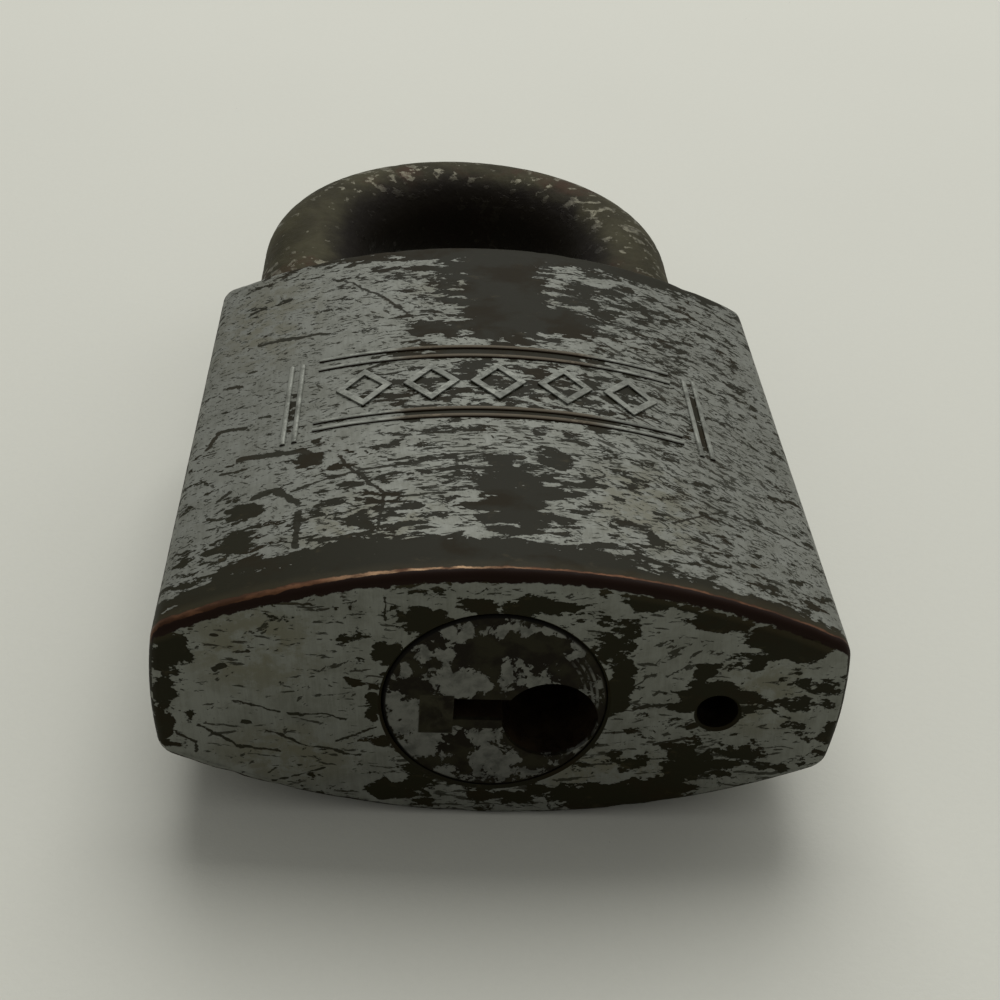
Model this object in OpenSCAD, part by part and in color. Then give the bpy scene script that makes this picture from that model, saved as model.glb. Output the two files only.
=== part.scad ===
// Old solid-bodied padlock with a heavy round shackle and a five-pin plug.
// It lies on its back: +Y runs from the keyhole end to the shackle, +Z is up through
// the front face. The origin is under the middle of the whole lock, on the surface it lies on.
// Inside the modules y is measured from the keyhole end and z from the case's middle plane.

/* [Case] */
// Width of the case
case_w = 44.45; // [38:0.05:53.4]
// Length of the case, keyhole end to shackle end
case_l = 44.45; // [37:0.05:53.4]
// Thickness of the case at its middle
case_t = 20.5; // [17:0.1:24.6]
// Height of the two side faces
side_h = 10.2; // [8.5:0.1:12.3]
// How far each side face bulges out
side_bulge = 0.4; // [0.2:0.05:0.6]
// Radius of the four long corners
corner_r = 1.7; // [1.4:0.1:2.1]
// Width of the worn chamfer around the keyhole end
end_chamfer = 0.7; // [0.4:0.1:0.9]
// Width of the small chamfer around the shackle end
far_chamfer = 0.2; // [0.1:0.05:0.6]

/* [Front ornament] */
// Width of a raised line
line_w = 0.35; // [0.2:0.05:0.5]
// Height of a raised line
line_h = 0.15; // [0.1:0.05:0.3]
// Length of the lines across the face
cross_line_len = 26; // [20:0.5:28]
// Upper outside line, from the keyhole end
upper_line_y = 27.6; // [25:0.1:30]
// Spacing of the upper pair of lines
upper_line_gap = 1.3; // [0.8:0.1:2]
// Lower outside line, from the keyhole end
lower_line_y = 18; // [16:0.1:20]
// Spacing of the lower pair of lines
lower_line_gap = 0.95; // [0.7:0.05:2]
// Outside side line, from the middle of the face
side_line_x = 15; // [14:0.1:17]
// Spacing of each pair of side lines
side_line_gap = 0.8; // [0.6:0.1:1.2]
// Start of the side lines, from the keyhole end
side_line_y = 16.9; // [14:0.1:20]
// Length of the side lines
side_line_len = 10.6; // [8:0.1:14]
// Number of plain lozenges in the frame
lozenge_count = 5; // [0:1:6]
// Length of a lozenge, across the face
lozenge_w = 4; // [3:0.1:4.2]
// Height of a lozenge, along the face
lozenge_l = 5; // [3:0.1:5.6]
// Spacing of the lozenges
lozenge_pitch = 4.8; // [4.4:0.1:5]

/* [Shackle] */
// Diameter of the shackle's rod
rod_d = 9.53; // [7.9:0.01:10.4]
// Distance between the middles of the two legs
leg_spacing = 28.2; // [27.8:0.1:29.4]
// Sideways shift of the shackle from the middle of the case
shackle_shift = -1; // [-1.5:0.1:0.5]
// Straight leg above the case
leg_above = 15.65; // [10:0.05:30]
// Length of the short leg inside the case
toe_len = 11.95; // [10.5:0.05:12.5]
// Gap from the case to the short leg's end when the shackle is open
toe_open_gap = 0.35; // [0.2:0.05:1]
// Room under the short leg
toe_room = 1; // [0.5:0.1:2]
// Bottom of the long leg's bore, from the keyhole end
heel_floor = 6; // [4:0.1:7]
// Room under the long leg
heel_room = 1.5; // [0.5:0.1:2]
// Radial clearance of the legs in their bores
leg_clear = 0.12; // [0.08:0.01:0.2]
// Chamfer on the ends of the legs
leg_chamfer = 0.8; // [0.4:0.1:1.2]
// Depth of the locking notches and of the long leg's flat
notch_depth = 1.8; // [1.5:0.05:2]
// Length of a locking notch at its floor
notch_len = 5.8; // [5.6:0.1:6.4]
// Length of the groove that lets the open shackle swing
swing_groove = 3; // [2.6:0.1:3.4]

/* [Plug] */
// Diameter of the plug
plug_d = 14.4; // [12:0.1:15.2]
// Length of the plug's end from the keyhole end
plug_l = 26; // [25.6:0.1:27]
// Sideways place of the plug
plug_x = -0.4; // [-1:0.1:0.6]
// Place of the plug above the case's middle plane
plug_z = -0.3; // [-0.6:0.1:0.6]
// How far the plug's face sits back from the case's end
plug_inset = 0.15; // [0:0.05:0.5]
// Radial clearance of the plug in its bore
plug_clear = 0.05; // [0.03:0.01:0.1]
// Depth of the keyway
keyway_depth = 21.5; // [21:0.1:21.8]
// Narrow end of the keyway's slot, from the plug's middle
slot_end = -2.6; // [-3:0.1:-2]
// Width of the keyway's slot
slot_w = 1.75; // [1.2:0.05:2]
// Top of the keyway's slot, from the plug's middle
slot_top = 0.3; // [0:0.1:0.6]
// Radius of the keyway's round end
bulb_r = 3.1; // [2.2:0.05:3.15]
// Sideways place of the round end, from the plug's middle
bulb_x = 3.65; // [3:0.05:3.7]
// Place of the round end below the plug's middle
bulb_drop = 1.35; // [0.5:0.05:1.4]
// Depth of the retaining groove round the plug
plug_groove_depth = 1; // [0.7:0.05:1.2]
// Place of the retaining groove, from the plug's inner end
plug_groove_back = 2.3; // [2.1:0.1:2.6]

/* [Pins] */
// Number of pin stacks
pin_count = 5; // [3:1:5]
// First pin stack, from the keyhole end
pin_first_y = 4.6; // [4:0.1:5]
// Spacing of the pin stacks
pin_pitch = 3.7; // [3.3:0.05:3.85]
// Diameter of the pins
pin_d = 2.6; // [2.2:0.05:2.9]
// Radial clearance of the pins in their chambers
pin_clear = 0.05; // [0.03:0.01:0.08]
// Length of a driver pin
driver_len = 4.4; // [3.6:0.1:5]
// Room for a spring between its driver pin and its chamber plug
spring_room = 5.9; // [5:0.1:6.5]
// Wire diameter of the springs
spring_wire = 0.36; // [0.25:0.01:0.45]
// Number of turns of a spring
spring_turns = 5; // [3:1:7]

/* [Locking bolts] */
// Middle of the bolts, from the shackle end of the case
bolt_depth = 5.85; // [5.5:0.05:6.2]
// Diameter of the bolts
bolt_d = 5; // [4.2:0.1:5.2]
// Radial clearance of the bolts in the cross bore
bolt_clear = 0.05; // [0.03:0.01:0.1]
// Gap from a drawn bolt to its leg
bolt_back_gap = 0.18; // [0.1:0.01:0.3]
// Gap from a thrown bolt to the notch's floor
bolt_floor_gap = 0.13; // [0.1:0.01:0.3]
// Reach of the cam with the bolts drawn
cam_reach = 3.2; // [2.8:0.1:3.4]
// Thickness of the cam's head
cam_head_t = 4.8; // [4:0.1:5]
// Diameter of the cam's stem
cam_stem_d = 4.8; // [4:0.1:5]
// Diameter of the cam's foot
cam_foot_d = 9.2; // [8.6:0.1:10]
// Thickness of the cam's foot
cam_foot_t = 1.6; // [1.2:0.1:2]
// Distance of the rivets from the plug's middle
rivet_offset = 3.4; // [3.4:0.05:3.5]

/* [Retaining pins and holes] */
// Diameter of the plug's retaining pin
plug_pin_d = 2; // [1.6:0.1:2]
// Diameter of the shackle's retaining pin
shackle_pin_d = 2.2; // [1.8:0.1:2.4]
// Place of the shackle's retaining pin, from the keyhole end
shackle_pin_y = 24; // [23.4:0.1:24.6]
// Diameter of the drain hole under the long leg
drain_d = 2.72; // [1.5:0.01:3.4]
// Sideways place of the drain hole, from the long leg's middle
drain_x = 0.93; // [-1:0.01:1.2]
// Place of the drain hole below the case's middle plane
drain_drop = 0.62; // [0:0.01:1]

/* [Hidden] */
$fn = 72;
PINS = [for (i = [1:pin_count]) i];

over = 1;                 // how far a cut runs past the face it opens
fit_gap = 0.02;           // radial gap of what is driven into its hole
pin_gap = 0.1;            // running gap beside a retaining pin
pin_groove_gap = 0.15;    // from the plug's retaining pin to its groove's floor
pin_flat_gap = 0.12;      // from the shackle's retaining pin to the flat on the long leg
stack_gap = 0.05;         // between the plug, a driver pin, its spring and its chamber plug
face_steps = 15;          // flats across the front and the back; an odd number lies flat
side_steps = 4;
corner_steps = 4;
cam_steps = 12;           // points along each curved flank of the cam

// Case section: a crowned front and back, bulged sides and round corners.
half_w = case_w / 2 - side_bulge;
crown = (case_t - side_h) / 2;
face_r = (half_w * half_w + crown * crown) / (2 * crown);
face_c = case_t / 2 - face_r;
side_r = (side_h * side_h / 4 + side_bulge * side_bulge) / (2 * side_bulge);
side_c = case_w / 2 - side_r;
centre_gap = norm([side_c, face_c]);
along = [side_c, -face_c] / centre_gap;
face_reach = face_r - corner_r;
side_reach = side_r - corner_r;
corner_a = (pow(face_reach, 2) - pow(side_reach, 2) + pow(centre_gap, 2)) / (2 * centre_gap);
corner_h = sqrt(pow(face_reach, 2) - pow(corner_a, 2));
corner_c = [0, face_c] + corner_a * along + corner_h * [along[1], -along[0]];
face_angle = atan2(corner_c[1] - face_c, corner_c[0]);
side_angle = atan2(corner_c[1], corner_c[0] - side_c);
flat_z = face_c + face_r * cos((90 - face_angle) / face_steps);

// Shackle
rod_r = rod_d / 2;
leg_bore_r = rod_r + leg_clear;
toe_x = shackle_shift - leg_spacing / 2;
heel_x = shackle_shift + leg_spacing / 2;
bow_y = case_l + leg_above;
overall_l = bow_y + leg_spacing / 2 + rod_r;
toe_end = case_l - toe_len;
heel_end = heel_floor + heel_room;
lift = toe_len + toe_open_gap;
leg_core_r = rod_r - notch_depth;

// Locking bolts and cam
bolt_y = case_l - bolt_depth;
bolt_r = bolt_d / 2;
bolt_bore_r = bolt_r + bolt_clear;
throw = notch_depth + bolt_back_gap - bolt_floor_gap;
cam_rate = throw / (PI / 2);
cam_nose_r = norm([cam_reach + throw, cam_rate]);
cam_room = 0.3;           // between the cam's nose and its bore
cam_set_back = 0.1;       // from the middle of the bolts to the middle of the cam's head
cam_end_room = 0.4;       // past the cam's head
plug_end_room = 0.2;      // past the plug's inner end
cam_bore_r = max(cam_nose_r, cam_foot_d / 2) + cam_room;
cam_head_y = bolt_y - cam_head_t / 2 - cam_set_back;
cam_gap = 0.05;
foot_y = plug_l + cam_foot_t;
rivet_r = 0.65;
rivet_hole_r = 0.7;
rivet_head_r = 0.9;
rivet_head_t = 0.7;
rivet_depth = 4;
rivet_end_gap = 0.2;

// The long leg's flat clears both the retaining pin and a thrown bolt at every height it stops at.
flat_low = shackle_pin_y - shackle_pin_d / 2 - pin_gap - lift;
flat_high = max(bolt_y + bolt_r + pin_gap - lift, shackle_pin_y + shackle_pin_d / 2) + pin_gap;

// Plug and pins
plug_r = plug_d / 2;
plug_bore_r = plug_r + plug_clear;
plug_groove_r = plug_r - plug_groove_depth;
plug_pin_x = plug_x - plug_groove_r - plug_pin_d / 2 - pin_groove_gap;
plug_pin_y = plug_l - plug_groove_back;
shackle_pin_x = heel_x - leg_core_r - pin_flat_gap - shackle_pin_d / 2;
plug_pin_top = 3;         // upper ends of the retaining pins
shackle_pin_top = 3.5;
pin_top_room = 0.3;       // past each pin in its hole
pin_r = pin_d / 2;
chamber_r = pin_r + pin_clear;
chamber_short = 0.5;      // from a chamber's floor to the plug's middle
chamber_floor = plug_x - chamber_short;
key_pin_tips = [1.7, 1, 1.4, 0.7, 1.2]; // from each chamber's floor to its key pin's tip
key_pin_sink = 0.17;      // keeps a key pin's flat end under the curve of the plug
key_pin_out = plug_x - plug_r + key_pin_sink;
driver_in = plug_x - plug_bore_r - stack_gap;
driver_out = driver_in - driver_len;
spring_in = driver_out - stack_gap;
spring_out = driver_out - spring_room + stack_gap;
chamber_plug_in = driver_out - spring_room;
coil_gap = 0.08;          // from a coil to the wall of the pin it pushes
spring_coil_r = pin_r - spring_wire / 2 - coil_gap;
spring_sides = 6;
spring_steps = 12;        // rings in one turn
recess = 0.15;            // how far a driven plug or pin sits under the surface
bore_plug_gap = 0.1;      // from the cross bore's plug to the short leg's bore

function pin_y(i) = pin_first_y + (i - 1) * pin_pitch;

function on_circle(c, r, a) = c + r * [cos(a), sin(a)];

function arc(c, r, a, b, n) = [for (i = [0:n - 1]) on_circle(c, r, a + (b - a) * i / n)];

// Outline of the case's section, every face moved in by inset.
function section(inset) = concat(
    arc([side_c, 0], side_r - inset, -side_angle, side_angle, side_steps),
    arc(corner_c, corner_r - inset, side_angle, face_angle, corner_steps),
    arc([0, face_c], face_r - inset, face_angle, 180 - face_angle, face_steps),
    arc([-corner_c[0], corner_c[1]], corner_r - inset, 180 - face_angle, 180 - side_angle, corner_steps),
    arc([-side_c, 0], side_r - inset, 180 - side_angle, 180 + side_angle, side_steps),
    arc(-corner_c, corner_r - inset, 180 + side_angle, 180 + face_angle, corner_steps),
    arc([0, -face_c], face_r - inset, 180 + face_angle, 360 - face_angle, face_steps),
    arc([corner_c[0], -corner_c[1]], corner_r - inset, 360 - face_angle, 360 - side_angle, corner_steps));

// Depth of the back face at a sideways place.
function back_z(x) = -(face_c + sqrt(face_r * face_r - x * x));

// Cam flank: its reach towards a bolt grows evenly as the cam turns.
function flank(turn) = [
    for (i = [0:cam_steps])
        let (a = 90 * i / cam_steps, reach = cam_reach + throw * i / cam_steps)
        [reach * cos(a + turn) - cam_rate * sin(a + turn), reach * sin(a + turn) + cam_rate * cos(a + turn)]];

// Places a drawing of the local frame in the row's frame.
module lay() translate([0, -overall_l / 2, flat_z]) children();

// Extrudes an outline of x and z from y0 to y1.
module slab(y0, y1) translate([0, y1, 0]) rotate([90, 0, 0]) linear_extrude(y1 - y0) children();

module cone_y(x, z, y0, y1, r0, r1) translate([x, y0, z]) rotate([-90, 0, 0])
    cylinder(h = y1 - y0, r1 = r0, r2 = r1);

module rod_y(x, z, y0, y1, r) cone_y(x, z, y0, y1, r, r);

module cone_x(y, z, x0, x1, r0, r1) translate([x0, y, z]) rotate([0, 90, 0])
    cylinder(h = x1 - x0, r1 = r0, r2 = r1);

module rod_x(y, z, x0, x1, r) cone_x(y, z, x0, x1, r, r);

module rod_z(x, y, z0, z1, r) translate([x, y, z0]) cylinder(h = z1 - z0, r = r);

// A raised line or outline, cut to follow the crown of the front face.
module raised() intersection() {
    slab(0, case_l) polygon(section(-line_h));
    linear_extrude(case_t) children();
}

module cross_line(y) translate([-cross_line_len / 2, y - line_w / 2]) square([cross_line_len, line_w]);

module side_line(x) translate([x - line_w / 2, side_line_y]) square([line_w, side_line_len]);

module lozenge(w, l) polygon([[-w / 2, 0], [0, -l / 2], [w / 2, 0], [0, l / 2]]);

module ornament() {
    lozenge_line = 1.5 * line_w;
    raised() {
        cross_line(upper_line_y);
        cross_line(upper_line_y - upper_line_gap);
        cross_line(lower_line_y);
        cross_line(lower_line_y + lower_line_gap);
        for (side = [-1, 1]) {
            side_line(side * side_line_x);
            side_line(side * (side_line_x - side_line_gap));
        }
    }
    row_y = (upper_line_y - upper_line_gap + lower_line_y + lower_line_gap) / 2;
    if (lozenge_count > 0)
        raised()
            for (i = [0:lozenge_count - 1])
                translate([(i - (lozenge_count - 1) / 2) * lozenge_pitch, row_y])
                    difference() {
                        lozenge(lozenge_w, lozenge_l);
                        lozenge(lozenge_w - 2 * lozenge_line, lozenge_l - 2 * lozenge_line);
                    }
}

// The end chamfers: the section runs out past the faces, and in towards both ends.
module end_shape() {
    thin = 0.01;
    near = end_chamfer + over;
    far = far_chamfer + over;
    hull() {
        slab(-over, thin - over) polygon(section(near));
        slab(near, near + thin) polygon(section(-over));
        slab(case_l - far - thin, case_l - far) polygon(section(-over));
        slab(case_l + over - thin, case_l + over) polygon(section(far));
    }
}

module pin_hole(x, y, top, d) rod_z(x, y, -case_t, top + pin_top_room, d / 2 + fit_gap);

module case_bores() {
    rod_y(plug_x, plug_z, -over, plug_l + plug_end_room, plug_bore_r);
    rod_y(plug_x, plug_z, plug_l, bolt_y + cam_head_t / 2 + cam_end_room, cam_bore_r);
    rod_y(toe_x, 0, toe_end - toe_room, case_l + over, leg_bore_r);
    rod_y(heel_x, 0, heel_floor, case_l + over, leg_bore_r);
    rod_y(heel_x + drain_x, -drain_drop, -over, heel_floor + over, drain_d / 2);
    rod_x(bolt_y, 0, -case_w / 2 - over, heel_x, bolt_bore_r);
    for (i = PINS)
        rod_x(pin_y(i), plug_z, -case_w / 2 - over, plug_x, chamber_r);
    pin_hole(plug_pin_x, plug_pin_y, plug_pin_top, plug_pin_d);
    pin_hole(shackle_pin_x, shackle_pin_y, shackle_pin_top, shackle_pin_d);
}

module case() color([0.47, 0.46, 0.4]) lay() difference() {
    union() {
        intersection() {
            slab(0, case_l) polygon(section(0));
            end_shape();
        }
        ornament();
    }
    case_bores();
}

module leg_end(x, y) cone_y(x, 0, y, y + leg_chamfer, rod_r - leg_chamfer, rod_r);

// A locking notch on the side of a leg that faces the middle of the lock.
module notch(x, side) {
    floor_x = x + side * leg_core_r;
    slope = 0.3;
    translate([0, 0, -rod_r - over]) linear_extrude(rod_d + 2 * over) polygon([
        [floor_x, bolt_y - notch_len / 2],
        [floor_x + side * (notch_depth + over), bolt_y - notch_len / 2 - slope * (notch_depth + over)],
        [floor_x + side * (notch_depth + over), bolt_y + notch_len / 2 + slope * (notch_depth + over)],
        [floor_x, bolt_y + notch_len / 2]]);
}

module shackle() color([0.3, 0.27, 0.24]) lay() difference() {
    union() {
        leg_end(toe_x, toe_end);
        leg_end(heel_x, heel_end);
        rod_y(toe_x, 0, toe_end + leg_chamfer, bow_y, rod_r);
        rod_y(heel_x, 0, heel_end + leg_chamfer, bow_y, rod_r);
        translate([shackle_shift, bow_y, 0])
            rotate_extrude(angle = 180) translate([leg_spacing / 2, 0]) circle(rod_r);
    }
    notch(toe_x, 1);
    notch(heel_x, -1);
    translate([heel_x - rod_r - over, flat_low, -rod_r - over])
        cube([over + notch_depth, flat_high - flat_low, rod_d + 2 * over]);
    difference() {
        rod_y(heel_x, 0, flat_low, flat_low + swing_groove, rod_r + over);
        rod_y(heel_x, 0, flat_low - over, flat_low + swing_groove + over, leg_core_r);
    }
}

module keyway() slab(-over, keyway_depth) {
    translate([plug_x + slot_end, plug_z + slot_top - slot_w]) square([bulb_x - slot_end, slot_w]);
    translate([plug_x + bulb_x, plug_z - bulb_drop]) circle(bulb_r);
}

module plug() color([0.4, 0.37, 0.3]) lay() difference() {
    groove_half = plug_pin_d / 2 + pin_gap;
    rod_y(plug_x, plug_z, plug_inset, plug_l, plug_r);
    keyway();
    for (i = PINS)
        rod_x(pin_y(i), plug_z, plug_x - plug_r - over, chamber_floor, chamber_r);
    difference() {
        rod_y(plug_x, plug_z, plug_pin_y - groove_half, plug_pin_y + groove_half, plug_r + over);
        rod_y(plug_x, plug_z, plug_pin_y - plug_pin_d, plug_pin_y + plug_pin_d, plug_groove_r);
    }
    for (side = [-1, 1])
        rod_y(plug_x, plug_z + side * rivet_offset, plug_l - rivet_depth, plug_l + over, rivet_hole_r);
}

module tail_cam() color([0.62, 0.5, 0.26]) lay() difference() {
    union() {
        rod_y(plug_x, plug_z, plug_l, foot_y, cam_foot_d / 2);
        rod_y(plug_x, plug_z, foot_y, cam_head_y, cam_stem_d / 2);
        translate([plug_x, 0, plug_z])
            slab(cam_head_y, cam_head_y + cam_head_t) polygon(concat(flank(0), flank(180)));
    }
    for (side = [-1, 1])
        rod_y(plug_x, plug_z + side * rivet_offset, plug_l - over, foot_y + over, rivet_hole_r);
}

module cam_rivets() color([0.6, 0.6, 0.62]) lay() {
    rivet_in = plug_l - rivet_depth + rivet_end_gap;
    for (side = [-1, 1]) {
        rod_y(plug_x, plug_z + side * rivet_offset, rivet_in, foot_y, rivet_r);
        rod_y(plug_x, plug_z + side * rivet_offset, foot_y, foot_y + rivet_head_t, rivet_head_r);
    }
}

// A bolt along X with a chamfer at both ends.
module bolt(x0, x1) {
    bevel = 0.4;
    cone_x(bolt_y, 0, x0, x0 + bevel, bolt_r - bevel, bolt_r);
    rod_x(bolt_y, 0, x0 + bevel, x1 - bevel, bolt_r);
    cone_x(bolt_y, 0, x1 - bevel, x1, bolt_r, bolt_r - bevel);
}

module toe_bolt() color([0.55, 0.56, 0.58]) lay()
    bolt(toe_x + rod_r + bolt_back_gap, plug_x - cam_reach - cam_gap);

module heel_bolt() color([0.55, 0.56, 0.58]) lay()
    bolt(plug_x + cam_reach + cam_gap, heel_x - rod_r - bolt_back_gap);

module cross_bore_plug() color([0.6, 0.5, 0.3]) lay()
    rod_x(bolt_y, 0, recess - case_w / 2, toe_x - leg_bore_r - bore_plug_gap, bolt_bore_r - fit_gap);

module plug_retaining_pin() color([0.6, 0.6, 0.62]) lay()
    rod_z(plug_pin_x, plug_pin_y, back_z(plug_pin_x) + 2 * recess, plug_pin_top, plug_pin_d / 2);

module shackle_retaining_pin() color([0.6, 0.6, 0.62]) lay()
    rod_z(shackle_pin_x, shackle_pin_y, back_z(shackle_pin_x) + 2 * recess, shackle_pin_top,
        shackle_pin_d / 2);

module chamber_plugs() color([0.6, 0.5, 0.3]) lay()
    for (i = PINS)
        rod_x(pin_y(i), plug_z, recess - case_w / 2, chamber_plug_in, chamber_r - fit_gap);

module key_pin(i) color([0.72, 0.6, 0.32]) lay() {
    tip_len = 1;
    tip_r = 0.5;
    tip_x = chamber_floor - key_pin_tips[i - 1];
    rod_x(pin_y(i), plug_z, key_pin_out, tip_x - tip_len, pin_r);
    cone_x(pin_y(i), plug_z, tip_x - tip_len, tip_x, pin_r, tip_r);
}

module driver_pin(i) color([0.6, 0.6, 0.62]) lay()
    rod_x(pin_y(i), plug_z, driver_out, driver_in, pin_r);

// Coil spring along -X: one round wire swept along a helix.
module pin_spring(i) {
    length = spring_in - spring_out - spring_wire;
    rings = spring_turns * spring_steps;
    rise = length / (2 * PI * spring_turns * spring_coil_r);
    points = [
        for (j = [0:rings])
            let (
                a = 360 * j / spring_steps,
                outward = [0, cos(a), sin(a)],
                forward = [-rise, -sin(a), cos(a)] / norm([rise, 1]),
                across = cross(forward, outward),
                middle = spring_coil_r * outward + [-length * j / rings - spring_wire / 2, 0, 0])
            for (k = [0:spring_sides - 1])
                let (b = 360 * k / spring_sides)
                middle + spring_wire / 2 * (cos(b) * outward + sin(b) * across)];
    sides = [
        for (j = [0:rings - 1])
            for (k = [0:spring_sides - 1])
                let (a = j * spring_sides, b = a + spring_sides, m = (k + 1) % spring_sides)
                each [[a + k, a + m, b + m], [a + k, b + m, b + k]]];
    ends = [
        [for (k = [spring_sides - 1:-1:0]) k],
        [for (k = [0:spring_sides - 1]) rings * spring_sides + k]];
    color([0.5, 0.5, 0.52]) lay() translate([spring_in, pin_y(i), plug_z])
        polyhedron(points = points, faces = concat(sides, ends), convexity = 8);
}

case();
shackle();
plug();
tail_cam();
cam_rivets();
toe_bolt();
heel_bolt();
cross_bore_plug();
plug_retaining_pin();
shackle_retaining_pin();
chamber_plugs();
for (i = PINS) {
    key_pin(i);
    driver_pin(i);
    pin_spring(i);
}
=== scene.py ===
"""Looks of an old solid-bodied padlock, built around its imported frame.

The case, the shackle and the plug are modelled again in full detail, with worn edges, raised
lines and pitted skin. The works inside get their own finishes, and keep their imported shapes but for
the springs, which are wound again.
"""

from __future__ import annotations

import logging
import math
from collections.abc import Callable, Iterable, Sequence
from dataclasses import dataclass, field
from enum import Enum

import bmesh
import bpy
from mathutils import Matrix, Vector, noise

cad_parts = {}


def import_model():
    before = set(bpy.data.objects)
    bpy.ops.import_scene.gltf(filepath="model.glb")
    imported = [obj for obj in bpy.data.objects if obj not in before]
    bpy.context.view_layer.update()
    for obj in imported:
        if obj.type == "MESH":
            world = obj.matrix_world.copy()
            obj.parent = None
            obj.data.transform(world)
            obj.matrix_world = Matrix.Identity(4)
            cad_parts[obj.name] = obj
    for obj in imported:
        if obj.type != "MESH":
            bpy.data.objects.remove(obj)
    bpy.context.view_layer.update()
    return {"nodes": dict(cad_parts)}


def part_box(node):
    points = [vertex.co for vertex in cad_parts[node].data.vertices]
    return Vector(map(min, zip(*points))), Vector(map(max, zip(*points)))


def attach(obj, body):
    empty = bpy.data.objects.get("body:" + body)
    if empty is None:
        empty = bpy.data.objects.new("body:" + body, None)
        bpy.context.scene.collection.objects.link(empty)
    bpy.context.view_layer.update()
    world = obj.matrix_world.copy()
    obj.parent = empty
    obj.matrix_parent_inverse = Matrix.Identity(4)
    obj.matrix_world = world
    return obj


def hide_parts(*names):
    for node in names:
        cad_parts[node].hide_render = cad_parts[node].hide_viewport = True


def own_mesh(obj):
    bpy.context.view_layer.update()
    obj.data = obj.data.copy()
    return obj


LOG = logging.getLogger("padlock")
MM = 0.001
PIN_STACKS = 5
Colour = tuple[float, float, float]
Point = tuple[float, float, float]


class Along(Enum):
    """The row axis that a round tool is turned to."""

    X = Matrix.Rotation(math.radians(90), 4, "Y")
    Y = Matrix.Rotation(math.radians(-90), 4, "X")
    Z = Matrix.Identity(4)


class Face(Enum):
    """Which side of the case a finish is for, with the two axes that its wear is laid out on."""

    FRONT = ("X", "Y")
    BACK = ("-X", "Y")
    KEYHOLE_END = ("X", "Z")
    SHACKLE_END = ("-X", "Z")


# ---- Where things are ----


@dataclass(frozen=True)
class Box:
    """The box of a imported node, in metres."""

    low: Vector
    high: Vector

    @staticmethod
    def of(node: str) -> Box:
        """The box of the named node."""
        return Box(*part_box(node))

    @property
    def mid(self) -> Vector:
        """Its middle."""
        return (self.low + self.high) / 2

    @property
    def half_x(self) -> float:
        """Half its width."""
        return (self.high.x - self.low.x) / 2

    @property
    def half_y(self) -> float:
        """Half its length."""
        return (self.high.y - self.low.y) / 2

    @property
    def half_z(self) -> float:
        """Half its height."""
        return (self.high.z - self.low.z) / 2


@dataclass(frozen=True)
class Datum:
    """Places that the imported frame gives, all in metres.

    Args:
        keyhole_y: the plane of the keyhole end.
        shackle_y: the plane of the shackle end.
        mid_z: height of the case's middle plane.
        half_width: half the case's width.
    """

    keyhole_y: float
    shackle_y: float
    mid_z: float
    half_width: float

    @staticmethod
    def from_frame() -> Datum:
        """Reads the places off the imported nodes.

        Returns:
            The datum of this lock.
        """
        case, rod = Box.of("case"), Box.of("shackle")
        return Datum(case.low.y, case.high.y, (rod.low.z + rod.high.z) / 2, case.half_x)

    @property
    def length(self) -> float:
        """Length of the case."""
        return self.shackle_y - self.keyhole_y

    def at(self, x: float, y: float, z: float) -> Vector:
        """A row point from millimetres sideways, from the keyhole end, and from the middle plane."""
        return Vector((x * MM, self.keyhole_y + y * MM, self.mid_z + z * MM))


@dataclass(frozen=True)
class Section:
    """The case's section: crowned faces, bulged sides and round corners, in metres."""

    half_width: float
    half_thickness: float
    side_height: float = 10.2 * MM
    side_bulge: float = 0.4 * MM
    corner_radius: float = 1.7 * MM

    @property
    def crown_radius(self) -> float:
        """Radius of the crowned front and back."""
        reach = self.half_width - self.side_bulge
        rise = self.half_thickness - self.side_height / 2
        return (reach * reach + rise * rise) / (2 * rise)

    @property
    def crown_centre(self) -> float:
        """Height of the front crown's centre, from the middle plane."""
        return self.half_thickness - self.crown_radius

    @property
    def side_radius(self) -> float:
        """Radius of the bulged sides."""
        half = self.side_height / 2
        return (half * half + self.side_bulge**2) / (2 * self.side_bulge)

    @property
    def side_centre(self) -> float:
        """Sideways place of the right side's centre."""
        return self.half_width - self.side_radius

    def corner(self) -> tuple[float, float]:
        """Centre of the round corner at the upper right, which touches the crown and the side.

        Returns:
            Its sideways place and its height from the middle plane.
        """
        crown = self.crown_radius - self.corner_radius
        side = self.side_radius - self.corner_radius
        gap = math.hypot(self.side_centre, self.crown_centre)
        along = Vector((self.side_centre, -self.crown_centre)) / gap
        forth = (crown * crown - side * side + gap * gap) / (2 * gap)
        out = math.sqrt(crown * crown - forth * forth)
        return (
            forth * along.x + out * along.y,
            self.crown_centre + forth * along.y - out * along.x,
        )

    def crown_at(self, x: float) -> float:
        """Height of the front face over the middle plane at a sideways place."""
        return self.crown_centre + math.sqrt(self.crown_radius**2 - x * x)


# ---- Mesh helpers ----


def new_piece(name: str, bm: bmesh.types.BMesh) -> bpy.types.Object:
    """Turns a finished bmesh into an object at the origin.

    Args:
        name: the piece's name.
        bm: the mesh, which is freed.

    Returns:
        The new object, linked to the scene.
    """
    bmesh.ops.recalc_face_normals(bm, faces=bm.faces[:])
    mesh = bpy.data.meshes.new(name)
    bm.to_mesh(mesh)
    bm.free()
    piece = bpy.data.objects.new(name, mesh)
    bpy.context.scene.collection.objects.link(piece)
    return piece


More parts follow.
